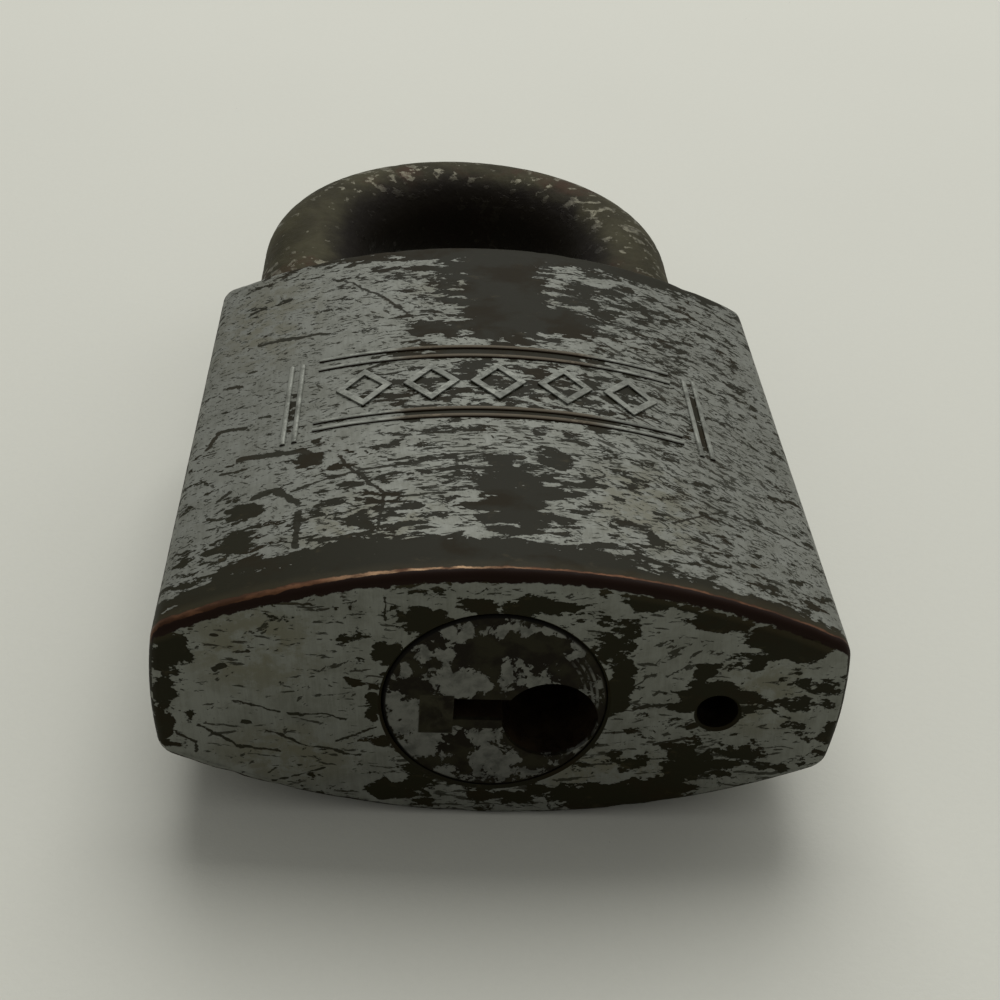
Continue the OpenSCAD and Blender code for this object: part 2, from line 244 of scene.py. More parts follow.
def round_tool(bm: bmesh.types.BMesh, start: Vector, along: Along, length: float, radius: float,
               segments: int = 64) -> None:
    """Adds a cylinder to a bmesh.

    Args:
        bm: the mesh that it goes into.
        start: the middle of its first end.
        along: the axis that it runs along, in the positive direction.
        length: its length.
        radius: its radius.
        segments: sides of the circle.
    """
    place = Matrix.Translation(start) @ along.value @ Matrix.Translation((0, 0, length / 2))
    bmesh.ops.create_cone(bm, cap_ends=True, segments=segments, radius1=radius, radius2=radius,
                          depth=length, matrix=place)


def push(bm: bmesh.types.BMesh, face: bmesh.types.BMFace, move: Vector, grow: float = 1.0) -> bmesh.types.BMFace:
    """Pushes an end face out once.

    Args:
        bm: the mesh.
        face: the end face.
        move: how far it goes.
        grow: how much wider it gets on the way.

    Returns:
        The end face in its new place.
    """
    covered = any(len(e.link_faces) > 1 for e in face.edges)
    pushed = bmesh.ops.extrude_face_region(bm, geom=[face], use_keep_orig=True)
    new = next(f for f in pushed["geom"] if isinstance(f, bmesh.types.BMFace))
    if covered:
        bmesh.ops.delete(bm, geom=[face], context="FACES_ONLY")
    bmesh.ops.translate(bm, verts=new.verts[:], vec=move)
    middle = Matrix.Translation(-new.calc_center_median())
    bmesh.ops.scale(bm, verts=new.verts[:], vec=(grow, grow, grow), space=middle)
    return new


def ring_tool(name: str, middle: Vector, inner: float, outer: float, width: float) -> bpy.types.Object:
    """A ring about the Y axis with a square section, for cutting a groove.

    Args:
        name: the tool's name.
        middle: the ring's middle.
        inner: its inner radius.
        outer: its outer radius.
        width: how wide it is along Y.

    Returns:
        The ring.
    """
    bm = bmesh.new()
    place = Matrix.Translation(middle + Vector(((inner + outer) / 2, 0, 0)))
    bmesh.ops.create_grid(bm, x_segments=1, y_segments=1, size=0.5,
                          matrix=place @ Matrix.Diagonal((outer - inner, width, 1, 1)))
    bmesh.ops.delete(bm, geom=bm.faces[:], context="FACES_ONLY")
    bmesh.ops.spin(bm, geom=bm.verts[:] + bm.edges[:], cent=middle, axis=(0, 1, 0), angle=2 * math.pi, steps=96)
    bmesh.ops.remove_doubles(bm, verts=bm.verts[:], dist=0.005 * MM)
    return new_piece(name, bm)


def combine(piece: bpy.types.Object, tools: Sequence[bpy.types.Object], operation: str) -> None:
    """Cuts tools out of a piece or joins them to it, and removes the tools.

    Args:
        piece: the object that is changed.
        tools: closed objects that do the cutting or are joined.
        operation: DIFFERENCE or UNION.
    """
    for tool in tools:
        modifier = piece.modifiers.new(tool.name, "BOOLEAN")
        modifier.operation = operation
        modifier.solver = "EXACT"
        modifier.object = tool
    graph = bpy.context.evaluated_depsgraph_get()
    shaped = bpy.data.meshes.new_from_object(piece.evaluated_get(graph))
    piece.modifiers.clear()
    plain = piece.data
    piece.data = shaped
    bpy.data.meshes.remove(plain)
    for tool in tools:
        bpy.data.objects.remove(tool)


def tidy_shading(piece: bpy.types.Object, sharp_degrees: float) -> None:
    """Merges doubled points, shades a piece smooth and keeps its sharp edges sharp.

    Args:
        piece: the object that is changed.
        sharp_degrees: edges steeper than this stay sharp.
    """
    bm = bmesh.new()
    bm.from_mesh(piece.data)
    bmesh.ops.remove_doubles(bm, verts=bm.verts[:], dist=0.002 * MM)
    bmesh.ops.dissolve_degenerate(bm, edges=bm.edges[:], dist=0.002 * MM)
    bm.to_mesh(piece.data)
    bm.free()
    piece.data.shade_smooth()
    piece.data.set_sharp_from_angle(angle=math.radians(sharp_degrees))


def set_back(verts: Iterable[bmesh.types.BMVert], depth: Callable[[Vector], float]) -> None:
    """Moves points inwards along their normals, by a depth that each point's place gives.

    Args:
        verts: the points, with current normals.
        depth: how far the point at a place goes in, in metres.
    """
    moves = [(v, v.normal * -depth(v.co)) for v in verts]
    for v, move in moves:
        v.co += move


# ---- Node helpers ----


class Graph:
    """A material's node tree, with short calls for the nodes that the finishes share.

    Values that are sockets are linked, and plain numbers are set on the node. Places are in
    millimetres: sideways, from the keyhole end, and from the case's middle plane.
    """

    def __init__(self, name: str, datum: Datum, face: Face = Face.FRONT) -> None:
        """Starts a material with one shader and one output."""
        self.material = bpy.data.materials.new(name)
        self.material.use_nodes = True
        self.tree = self.material.node_tree
        self.tree.nodes.clear()
        output = self.tree.nodes.new("ShaderNodeOutputMaterial")
        self.shader = self.tree.nodes.new("ShaderNodeBsdfPrincipled")
        self.tree.links.new(self.shader.outputs["BSDF"], output.inputs["Surface"])
        coordinates = self.tree.nodes.new("ShaderNodeTexCoord")
        place = self.tree.nodes.new("ShaderNodeMapping")
        place.inputs["Scale"].default_value = (1 / MM, 1 / MM, 1 / MM)
        place.inputs["Location"].default_value = (0, -datum.keyhole_y / MM, -datum.mid_z / MM)
        self.tree.links.new(coordinates.outputs["Object"], place.inputs["Vector"])
        apart = self.tree.nodes.new("ShaderNodeSeparateXYZ")
        self.tree.links.new(place.outputs["Vector"], apart.inputs["Vector"])
        self.x, self.y, self.z = apart.outputs
        first, second = face.value
        self.u = self.times(self.x, -1.0) if first == "-X" else self.x
        self.v, self.w = (self.z, self.y) if second == "Z" else (self.y, self.z)
        self.place = self.join(self.u, self.v, self.w)

    def join(self, u: object, v: object, w: object) -> bpy.types.NodeSocket:
        """A vector from three values."""
        node = self.tree.nodes.new("ShaderNodeCombineXYZ")
        for socket, value in zip(node.inputs, (u, v, w)):
            self.put(socket, value)
        return node.outputs[0]

    def vector(self, operation: str, first: object, second: object, result: int = 0) -> bpy.types.NodeSocket:
        """A Vector Math node; its second result is a number."""
        node = self.tree.nodes.new("ShaderNodeVectorMath")
        node.operation = operation
        self.put(node.inputs[0], first)
        self.put(node.inputs["Scale"] if operation == "SCALE" else node.inputs[1], second)
        return node.outputs[result]

    def put(self, socket: bpy.types.NodeSocket, value: object) -> None:
        """Links a socket or sets a plain value."""
        if isinstance(value, bpy.types.NodeSocket):
            self.tree.links.new(value, socket)
        elif socket.type == "RGBA":
            socket.default_value = (*value, 1)
        else:
            socket.default_value = value

    def math(self, operation: str, *values: object) -> bpy.types.NodeSocket:
        """A Math node on one to three values."""
        node = self.tree.nodes.new("ShaderNodeMath")
        node.operation = operation
        for socket, value in zip(node.inputs, values):
            self.put(socket, value)
        return node.outputs[0]

    def add(self, *values: object) -> bpy.types.NodeSocket:
        """The sum of any number of values."""
        total = values[0]
        for value in values[1:]:
            total = self.math("ADD", total, value)
        return total

    def times(self, *values: object) -> bpy.types.NodeSocket:
        """The product of any number of values."""
        total = values[0]
        for value in values[1:]:
            total = self.math("MULTIPLY", total, value)
        return total

    def most(self, *values: object) -> bpy.types.NodeSocket:
        """The largest of any number of values."""
        top = values[0]
        for value in values[1:]:
            top = self.math("MAXIMUM", top, value)
        return top

    def least(self, *values: object) -> bpy.types.NodeSocket:
        """The smallest of any number of values."""
        low = values[0]
        for value in values[1:]:
            low = self.math("MINIMUM", low, value)
        return low

    def oval(self, spot: Spot) -> bpy.types.NodeSocket:
        """1 in the middle of an oval on the face, falling to 0 at its edge."""
        across = self.math("MULTIPLY_ADD", self.u, 1 / spot.ru, -spot.u / spot.ru)
        up = self.math("MULTIPLY_ADD", self.v, 1 / spot.rv, -spot.v / spot.rv)
        return self.most(0.0, self.less(self.add(self.times(across, across), self.times(up, up))))

    def ovals(self, start: float, spots: Iterable[Spot]) -> object:
        """The sum of a start value and every oval times its amount."""
        total: object = start
        for spot in spots:
            total = self.math("MULTIPLY_ADD", self.oval(spot), spot.amount, total)
        return total

    def off_stroke(self, place: object, stroke: Stroke) -> object:
        """How far a place is outside a stroke, in millimetres; it is below 0 within the stroke."""
        nearest: object = None
        for (u0, v0), (u1, v1) in zip(stroke.points, stroke.points[1:]):
            run = Vector((u1 - u0, v1 - v0, 0))
            to_place = self.vector("SUBTRACT", place, (u0, v0, 0))
            share = self.vector("DOT_PRODUCT", to_place, tuple(run / run.length_squared), 1)
            foot = self.vector("SCALE", tuple(run), self.held(share))
            gap = self.vector("DISTANCE", to_place, foot, 1)
            nearest = gap if nearest is None else self.least(nearest, gap)
        return self.math("SUBTRACT", nearest, stroke.width / 2)

    def less(self, value: object) -> bpy.types.NodeSocket:
        """One less the value."""
        return self.math("SUBTRACT", 1.0, value)

    def held(self, value: object) -> bpy.types.NodeSocket:
        """The value, kept from 0 to 1."""
        return self.most(0.0, self.least(1.0, value))

    def step(self, value: object, low: float, high: float) -> bpy.types.NodeSocket:
        """0 below low, 1 above high and a smooth rise between; low above high makes it fall."""
        node = self.tree.nodes.new("ShaderNodeMapRange")
        node.interpolation_type = "SMOOTHSTEP"
        node.clamp = False
        self.put(node.inputs["Value"], value)
        falls = low > high
        node.inputs["From Min"].default_value = high if falls else low
        node.inputs["From Max"].default_value = low if falls else high
        node.inputs["To Min"].default_value = 1.0 if falls else 0.0
        node.inputs["To Max"].default_value = 0.0 if falls else 1.0
        return node.outputs["Result"]

    def band(self, value: object, middle: float, half: float, soft: float) -> bpy.types.NodeSocket:
        """1 within half of the middle, fading out over soft."""
        away = self.math("ABSOLUTE", self.math("SUBTRACT", value, middle))
        return self.step(away, half + soft, half)

    def noise(self, scale: Point | float, detail: float = 4, roughness: float = 0.55,
              distortion: float = 0.0, turn: float = 0.0, shift: float = 0.0) -> bpy.types.NodeSocket:
        """Noise whose scale may differ along each axis.

        Args:
            scale: features per millimetre, along all axes or along each one after the turn.
            detail: octaves.
            roughness: how strong the small octaves are.
            distortion: how far the pattern is pulled about.
            turn: degrees that the pattern is turned in the plane of the front.
            shift: moves the pattern to another part of the noise.

        Returns:
            A value about 0.5.
        """
        grain = scale if isinstance(scale, tuple) else (scale, scale, scale)
        turned = self.tree.nodes.new("ShaderNodeMapping")
        turned.vector_type = "TEXTURE"
        turned.inputs["Rotation"].default_value = (0, 0, math.radians(turn))
        turned.inputs["Scale"].default_value = tuple(1 / s for s in grain)
        turned.inputs["Location"].default_value = (shift, -shift, shift)
        self.tree.links.new(self.place, turned.inputs["Vector"])
        node = self.tree.nodes.new("ShaderNodeTexNoise")
        node.inputs["Scale"].default_value = 1.0
        node.inputs["Detail"].default_value = detail
        node.inputs["Roughness"].default_value = roughness
        node.inputs["Distortion"].default_value = distortion
        self.tree.links.new(turned.outputs["Vector"], node.inputs["Vector"])
        return node.outputs[0]

    def blend(self, factor: object, first: object, second: object) -> bpy.types.NodeSocket:
        """A mix of two colours."""
        node = self.tree.nodes.new("ShaderNodeMix")
        node.data_type = "RGBA"
        self.put(node.inputs[0], factor)
        self.put(node.inputs[6], first)
        self.put(node.inputs[7], second)
        return node.outputs[2]

    def between(self, factor: object, first: object, second: object) -> bpy.types.NodeSocket:
        """A mix of two numbers."""
        node = self.tree.nodes.new("ShaderNodeMix")
        node.data_type = "FLOAT"
        self.put(node.inputs[0], factor)
        self.put(node.inputs[2], first)
        self.put(node.inputs[3], second)
        return node.outputs[0]

    def bump(self, height: object, depth: float) -> None:
        """Roughens the shader's normal by a height from 0 to 1, over a depth in metres."""
        node = self.tree.nodes.new("ShaderNodeBump")
        node.inputs["Strength"].default_value = 1.0
        node.inputs["Distance"].default_value = depth
        self.put(node.inputs["Height"], height)
        self.tree.links.new(node.outputs["Normal"], self.shader.inputs["Normal"])

    def surface(self, colour: object, roughness: object, metallic: object, specular: float = 0.5) -> None:
        """Sets what the shader needs most."""
        self.shader.inputs["Specular IOR Level"].default_value = specular
        self.put(self.shader.inputs["Base Color"], colour)
        self.put(self.shader.inputs["Roughness"], roughness)
        self.put(self.shader.inputs["Metallic"], metallic)


# ---- Finishes ----


@dataclass(frozen=True)
class Spot:
    """A soft oval where the plating is more worn, or less worn where the amount is negative.

    Args:
        u: its middle along the face's first axis, in millimetres.
        v: its middle along the face's second axis.
        ru: its half width.
        rv: its half height.
        amount: how much it adds to the wear.
    """

    u: float
    v: float
    ru: float
    rv: float
    amount: float


def spots(*rows: tuple[float, float, float, float, float]) -> tuple[Spot, ...]:
    """Spots from rows of their numbers."""
    return tuple(Spot(*row) for row in rows)


@dataclass(frozen=True)
class Stroke:
    """A dark scratch along a few points of a face, in millimetres."""

    width: float
    points: tuple[tuple[float, float], ...]


def strokes(*rows: tuple) -> tuple[Stroke, ...]:
    """Strokes from rows that each hold a width and then the points."""
    return tuple(Stroke(row[0], row[1:]) for row in rows)


@dataclass(frozen=True)
class Hatch:
    """Many short scratches that run one way, thickest in the middle of an oval.

    Args:
        turn: degrees from the face's first axis.
        grain: scratches per millimetre along and across.
        level: what the noise has to reach at the oval's edge.
        where: the oval; its amount lowers the level in its middle.
        shift: picks another part of the noise.
    """

    turn: float
    grain: tuple[float, float]
    level: float
    where: Spot
    shift: float


@dataclass(frozen=True)
class WornPlating:
    """Dull plating that has flaked off in ragged patches over dark tarnished bronze, with a painted highlight on
    the copper of its worn edge.
    """

    plating: Colour = (0.190, 0.196, 0.168)
    plating_dim: Colour = (0.121, 0.125, 0.104)
    yellowed: Colour = (0.138, 0.134, 0.096)
    tarnish: Colour = (0.0136, 0.0126, 0.0050)
    tarnish_brown: Colour = (0.0170, 0.0124, 0.0048)
    stain: Colour = (0.050, 0.040, 0.019)
    copper: Colour = (0.105, 0.050, 0.025)
    # Painted highlight colour for the copper of the worn edge.
    copper_highlight: Colour = (0.285, 0.188, 0.108)
    copper_dark: Colour = (0.013, 0.0058, 0.0032)
    bronze: Colour = (0.105, 0.088, 0.060)
    face: Face = Face.FRONT
    worn: float = 0.0
    pitting: float = 0.672
    spots: tuple[Spot, ...] = ()
    strokes: tuple[Stroke, ...] = ()
    hatches: tuple[Hatch, ...] = ()
    yellow_spots: tuple[Spot, ...] = ()
    flake_grain: Point = (0.46, 1.20, 0.9)

    def stroke_marks(self, g: Graph, ragged: object) -> object:
        """The single scratches, with a wandering line and a ragged width.

        Args:
            g: the material's graph.
            ragged: a fine noise about 0.5.

        Returns:
            1 within a scratch.
        """
        if not self.strokes:
            return 0.0
        wander = g.math("MULTIPLY_ADD", g.noise(0.45, 3, 0.5, 0, 0, 51), 0.9, -0.45)
        place = g.join(g.add(g.u, wander), g.add(g.v, wander), 0.0)
        off: object = 9.0
        for stroke in self.strokes:
            off = g.least(off, g.off_stroke(place, stroke))
        return g.step(g.math("MULTIPLY_ADD", g.math("SUBTRACT", 0.5, ragged), 0.55, off), 0.03, -0.01)

    def hatch_marks(self, g: Graph) -> object:
        """The fields of short scratches.

        Args:
            g: the material's graph.

        Returns:
            1 within a scratch.
        """
        marks: object = 0.0
        for h in self.hatches:
            along, across = h.grain
            grain = g.noise((along, across, across), 4, 0.6, 0.15, h.turn, h.shift)
            level = g.math("MULTIPLY_ADD", g.oval(h.where), h.where.amount, grain)
            marks = g.most(marks, g.step(level, h.level, h.level + 0.025))
        return marks

    def build(self, name: str, datum: Datum, section: Section) -> bpy.types.Material:
        """Makes the material.

        Args:
            name: the material's name.
            datum: places of the frame.
            section: the case's section, whose crown tells a raised line from the face.

        Returns:
            The finished material.
        """
        g = Graph(name, datum, self.face)
        crown_r, crown_c = section.crown_radius / MM, section.crown_centre / MM
        crown = g.add(g.math("SQRT", g.math("SUBTRACT", crown_r**2, g.times(g.x, g.x))), crown_c)
        under_front = g.math("SUBTRACT", crown, g.z)
        raised = g.step(under_front, -0.05, -0.09)
        out = g.math("ABSOLUTE", g.x)

        flakes = g.noise(self.flake_grain, 12, 0.60, 0.35)
        ragged = g.noise((1.5, 3.0, 2.8), 6, 0.62, 0.35, 0, 2)
        level = g.add(flakes, g.math("MULTIPLY_ADD", ragged, 0.34, -0.17), g.ovals(self.worn, self.spots))
        loss = g.step(level, 0.552, 0.562)
        near = g.step(level, 0.505, 0.552)
        pits = g.step(g.noise((1.7, 2.6, 2.4), 3, 0.6, 0.2, 20, 3), self.pitting, self.pitting + 0.028)
        edge_noise = g.noise(1.1, 5, 0.62, 0, 0, 11)
        side_edge = g.times(g.step(g.add(out, g.times(edge_noise, 1.3)), 22.35, 22.55),
                            g.step(g.add(g.math("ABSOLUTE", g.z), g.times(edge_noise, 1.5)), 4.0, 4.3))
        loss = g.most(loss, pits, g.times(self.stroke_marks(g, ragged), 0.95),
                      g.times(self.hatch_marks(g), 0.85), side_edge)

        # The worn edge: copper on its upper part and darker below it. On the keyhole end a ragged dark fringe
        # runs under the edge, and a thin dark line along the back edge.
        wobble = g.math("MULTIPLY_ADD", edge_noise, 0.6, -0.3)
        on_front = g.step(under_front, 1.4, 0.9)
        on_bevel = g.times(g.step(g.add(g.y, wobble), 0.80, 0.66), on_front)
        narrow = g.math("MULTIPLY_ADD", g.step(g.x, -19.0, 0.0), 0.30, 0.24)
        past_edge = g.math("SUBTRACT", g.add(g.y, g.times(wobble, 0.4)), narrow)
        copper = g.times(on_bevel, g.step(past_edge, 0.0, 0.06))
        if self.face is Face.KEYHOLE_END:
            fringe = g.step(g.add(under_front, g.times(wobble, 1.5)), 0.76, 0.66)
            above_back = g.add(crown, g.z, g.times(wobble, 1.1))
            loss = g.most(loss, g.step(above_back, 0.46, 0.34))
            on_bevel = fringe
            copper = g.times(copper, fringe)
        loss = g.most(loss, on_bevel)

        slow = g.noise((0.07, 0.09, 0.08), 3, 0.5, 0, 0, 5)
        grain = g.noise((5.0, 0.45, 0.45), 4, 0.65, 0, 4, 1)
        mottle = g.noise((0.55, 0.6, 0.6), 6, 0.68, 0.3, 0, 9)
        dim = g.add(g.times(g.step(slow, 0.36, 0.62), 0.30), g.times(g.step(grain, 0.25, 0.78), 0.55),
                    g.times(g.step(mottle, 0.38, 0.70), 0.55), -0.30)
        plate = g.blend(g.held(dim), self.plating, self.plating_dim)
        yellow = g.times(g.ovals(0.12, self.yellow_spots), g.step(mottle, 0.40, 0.58))
        plate = g.blend(g.held(yellow), plate, self.yellowed)
        plate = g.blend(g.times(near, g.step(ragged, 0.45, 0.62), 0.55), plate, self.plating_dim)
        brown = g.step(g.noise((0.2, 0.24, 0.24), 5, 0.6, 0.2, 0, 21), 0.47, 0.64)
        under = g.blend(g.times(brown, 0.8), self.tarnish, self.tarnish_brown)
        stained = g.step(g.noise((0.6, 0.9, 0.9), 6, 0.70, 0.2, 0, 31), 0.58, 0.72)
        under = g.blend(g.times(stained, 0.45), under, self.stain)
        scuffed = g.times(g.step(g.add(g.y, wobble), 1.7, 0.7), on_front, 0.35)
        under = g.blend(scuffed, under, self.stain)
        # The worn edge is dark below its copper.
        under = g.blend(on_bevel, under, self.copper_dark)
        colour = g.blend(loss, plate, under)

        # Painted highlight: the copper of the worn edge is lighter in streaks left of the middle.
        streak = g.noise((0.35, 1.2, 1.2), 4, 0.6, 0, 0, 41)
        bright = g.times(g.step(streak, 0.36, 0.60), g.oval(Spot(-5.0, 0.5, 6.5, 30.0, 1.0)))
        dull = g.step(streak, 0.62, 0.42)
        metal = g.blend(g.times(dull, 0.6), self.copper, self.copper_dark)
        metal = g.blend(bright, metal, self.copper_highlight)
        colour = g.blend(copper, colour, metal)
        cross_pairs = g.most(g.band(g.y, 27.0, 0.9, 0.2), g.band(g.y, 18.5, 0.8, 0.2))
        browned = g.times(cross_pairs, g.step(out, 8.5, 6.0))
        silver = g.blend(g.step(mottle, 0.42, 0.66), tuple(c * 1.25 for c in self.plating), self.plating_dim)
        colour = g.blend(raised, colour, g.blend(browned, silver, self.bronze))

        rough = g.between(loss, g.between(mottle, 0.40, 0.52), g.between(brown, 0.52, 0.66))
        g.surface(colour, g.between(copper, rough, 0.5), g.between(copper, g.between(loss, 0.30, 0.0), 0.7), 0.07)
        height = g.add(g.times(g.less(loss), 0.80), g.times(ragged, 0.22), g.times(grain, 0.08),
                       g.times(mottle, 0.14))
        g.bump(height, 0.045 * MM)
        return g.material


@dataclass(frozen=True)
class RustedSteel:
    """Dark rusted rod with pale rubbed specks, reddish blooms and painted shade on the inside of the bow."""

    dark: Colour = (0.027, 0.0235, 0.0105)
    grey: Colour = (0.049, 0.0445, 0.0220)
    red: Colour = (0.045, 0.022, 0.011)
    speck: Colour = (0.155, 0.146, 0.102)
    # Painted shade for the inside of the bow.
    inner_shade: Colour = (0.0050, 0.0030, 0.0015)
    speck_spots: tuple[Spot, ...] = spots(
        (-17.0, 49.0, 4.0, 5.5, 0.10), (12.5, 63.0, 6.0, 7.0, 0.10), (-10.0, 70.0, 6.0, 4.0, 0.04))

    def build(self, name: str, datum: Datum, bow: Vector, reach: float) -> bpy.types.Material:
        """Makes the material.

        Args:
            name: the material's name.
            datum: places of the frame.
            bow: the middle of the bow, in the millimetres that the finishes use.
            reach: the rod's bend radius, in millimetres.

        Returns:
            The finished material.
        """
        g = Graph(name, datum)
        dx = g.math("SUBTRACT", g.x, bow.x)
        dy = g.most(0.0, g.math("SUBTRACT", g.y, bow.y))
        from_bow = g.math("SQRT", g.add(g.times(dx, dx), g.times(dy, dy)))
        cloud = g.noise((0.22, 0.2, 0.22), 7, 0.6, 0.3)
        bloom = g.step(g.noise(0.16, 6, 0.62, 0.3, 0, 13), 0.52, 0.68)
        fine = g.noise(1.8, 6, 0.65, 0.1)
        patchy = g.noise(0.12, 3, 0.5, 0, 0, 17)
        specks = g.step(g.add(g.noise(0.95, 3, 0.55, 0.1, 0, 23),
                              g.times(g.math("SUBTRACT", patchy, 0.5), 0.55), g.ovals(0.0, self.speck_spots)),
                        0.60, 0.66)
        colour = g.blend(g.step(cloud, 0.35, 0.68), self.dark, self.grey)
        colour = g.blend(g.times(bloom, 0.75), colour, self.red)
        colour = g.blend(g.times(specks, g.step(fine, 0.35, 0.6), 0.85), colour, self.speck)
        # Painted shade: the inside face of the bow is darkened nearly to black, with a ragged edge.
        uneven = g.math("MULTIPLY_ADD", cloud, 3.0, -1.5)
        inner = g.step(g.add(from_bow, uneven), reach - 0.4, reach - 3.2)
        colour = g.blend(g.times(inner, 0.93), colour, self.inner_shade)
        rough = g.between(specks, g.between(fine, 0.55, 0.8), 0.45)
        g.surface(colour, rough, g.between(specks, 0.25, 0.55), 0.09)
        g.bump(g.add(g.times(fine, 0.7), g.times(cloud, 0.6), g.times(specks, 0.25)), 0.09 * MM)
        return g.material


@dataclass(frozen=True)
class TarnishedPlug:
    """The plug's face: plating worn to islands over brown tarnish, dark at its rim, with painted shade in the gap
    round it and on the keyway's walls.
    """

    plating: Colour = (0.158, 0.160, 0.138)
    tarnish: Colour = (0.0105, 0.0082, 0.0048)
    olive: Colour = (0.021, 0.019, 0.0098)
    red: Colour = (0.026, 0.0105, 0.006)
    brass: Colour = (0.060, 0.036, 0.016)
    worn: float = 0.076
    spots: tuple[Spot, ...] = ()

    def build(self, name: str, datum: Datum, middle: Vector, radius: float) -> bpy.types.Material:
        """Makes the material.

        Args:
            name: the material's name.
            datum: places of the frame.
            middle: a point on the plug's axis.
            radius: the plug's radius.

        Returns:
            The finished material.
        """
        g = Graph(name, datum, Face.KEYHOLE_END)
        dx = g.math("SUBTRACT", g.x, middle.x / MM)
        dz = g.math("SUBTRACT", g.z, (middle.z - datum.mid_z) / MM)
        away = g.math("SQRT", g.add(g.times(dx, dx), g.times(dz, dz)))
        edge = radius / MM
        flakes = g.noise((0.62, 0.5, 0.70), 12, 0.64, 0.45, 0, 2)
        fine = g.noise(1.5, 6, 0.66, 0.45)
        patch = g.times(g.band(dx, -3.7, 1.05, 0.10), g.band(dz, -1.05, 1.55, 0.10))
        level = g.add(flakes, g.math("MULTIPLY_ADD", fine, 0.56, -0.28), g.ovals(self.worn, self.spots))
        loss = g.most(g.step(level, 0.520, 0.536), patch, g.step(away, edge - 0.26, edge - 0.12))
        turned = g.most(g.band(away, edge - 0.62, 0.05, 0.07), g.band(away, edge - 0.95, 0.04, 0.06),
                        g.band(away, edge - 1.35, 0.05, 0.07))
        turned = g.times(turned, g.step(dx, 4.4, 5.4), g.step(fine, 0.44, 0.54))
        loss = g.times(loss, g.less(g.times(turned, 0.75)))
        # Painted shade: a near-black ring in the gap round the plug, fading in towards the upper left.
        gap = g.times(g.step(away, edge - 0.30, edge - 0.20), g.step(g.math("SUBTRACT", dz, dx), -2.0, 3.0))
        inside = g.step(g.y, 0.38, 0.55)
        brown = g.step(g.noise(0.5, 5, 0.6, 0.2, 0, 8), 0.42, 0.62)
        under = g.blend(brown, self.tarnish, self.olive)
        under = g.blend(g.times(patch, g.step(flakes, 0.40, 0.56), 0.75), under, (0.036, 0.033, 0.019))
        mottle = g.noise(1.1, 5, 0.62, 0.3, 0, 4)
        plate = g.blend(g.step(mottle, 0.38, 0.68), self.plating, tuple(c * 0.55 for c in self.plating))
        colour = g.blend(loss, plate, under)
        # The keyway's walls: rust and brass mixed seven tenths of the way into dark tarnish, partly tarnish and
        # partly painted shade in the recess.
        rust = g.step(g.noise((0.45, 0.4, 0.45), 6, 0.62, 0.3, 0, 19), 0.42, 0.6)
        walls = g.blend(rust, self.red, self.brass)
        walls = g.blend(0.70, walls, self.tarnish)
        # The painted shade of the gap.
        colour = g.blend(g.times(gap, 0.85), colour, (0.0015, 0.0012, 0.0008))
        colour = g.blend(inside, colour, walls)
        g.surface(colour, g.between(loss, 0.42, 0.6), g.between(loss, 0.35, 0.0), 0.07)
        g.bump(g.add(g.times(g.less(loss), 0.7), g.times(fine, 0.25), g.times(mottle, 0.2)), 0.04 * MM)
        return g.material


@dataclass(frozen=True)
class TurnedMetal:
    """Dull metal turned on a lathe: fine tool rings, a slow colour drift and old grease."""

    base: Colour
    shade: Colour
    grease: Colour = (0.05, 0.035, 0.018)
    roughness: float = 0.36

    def build(self, name: str, datum: Datum) -> bpy.types.Material:
        """Makes the material.

        Args:
            name: the material's name.
            datum: places of the frame.

        Returns:
            The finished material.
        """
        g = Graph(name, datum)
        rings = g.noise((6.0, 6.0, 0.4), 2, 0.5)
        drift = g.noise(0.4, 5, 0.6, 0.2, 0, 6)
        dirt = g.step(g.noise(0.7, 6, 0.65, 0.3, 0, 12), 0.52, 0.66)
        colour = g.blend(g.step(drift, 0.35, 0.65), self.base, self.shade)
        colour = g.blend(g.times(dirt, 0.7), colour, self.grease)
        g.surface(colour, g.between(dirt, g.between(rings, self.roughness, self.roughness + 0.12), 0.6),
                  g.between(dirt, 0.95, 0.4))
        g.bump(g.add(g.times(rings, 0.5), g.times(drift, 0.3)), 0.012 * MM)
        return g.material


@dataclass(frozen=True)
class PaleTop:
    """The plain pale surface that the lock lies on, with a faint grain and a few specks of dirt."""

    pale: Colour = (0.640, 0.640, 0.560)
    shade: Colour = (0.590, 0.590, 0.515)
    speck: Colour = (0.30, 0.29, 0.25)

    def build(self, name: str, datum: Datum) -> bpy.types.Material:
        """Makes the material.

        Args:
            name: the material's name.
            datum: places of the frame.

        Returns:
            The finished material.
        """
        g = Graph(name, datum)
        grain = g.noise(2.4, 4, 0.6)
        cloud = g.noise(0.02, 3, 0.5)
        specks = g.step(g.noise(0.55, 3, 0.6, 0.3, 0, 3), 0.765, 0.80)
        colour = g.blend(g.add(g.times(grain, 0.5), g.times(cloud, 0.5)), self.pale, self.shade)
        colour = g.blend(g.times(specks, 0.6), colour, self.speck)
        g.surface(colour, 0.6, 0.0, 0.3)
        g.bump(grain, 0.02 * MM)
        return g.material


# ---- The case ----

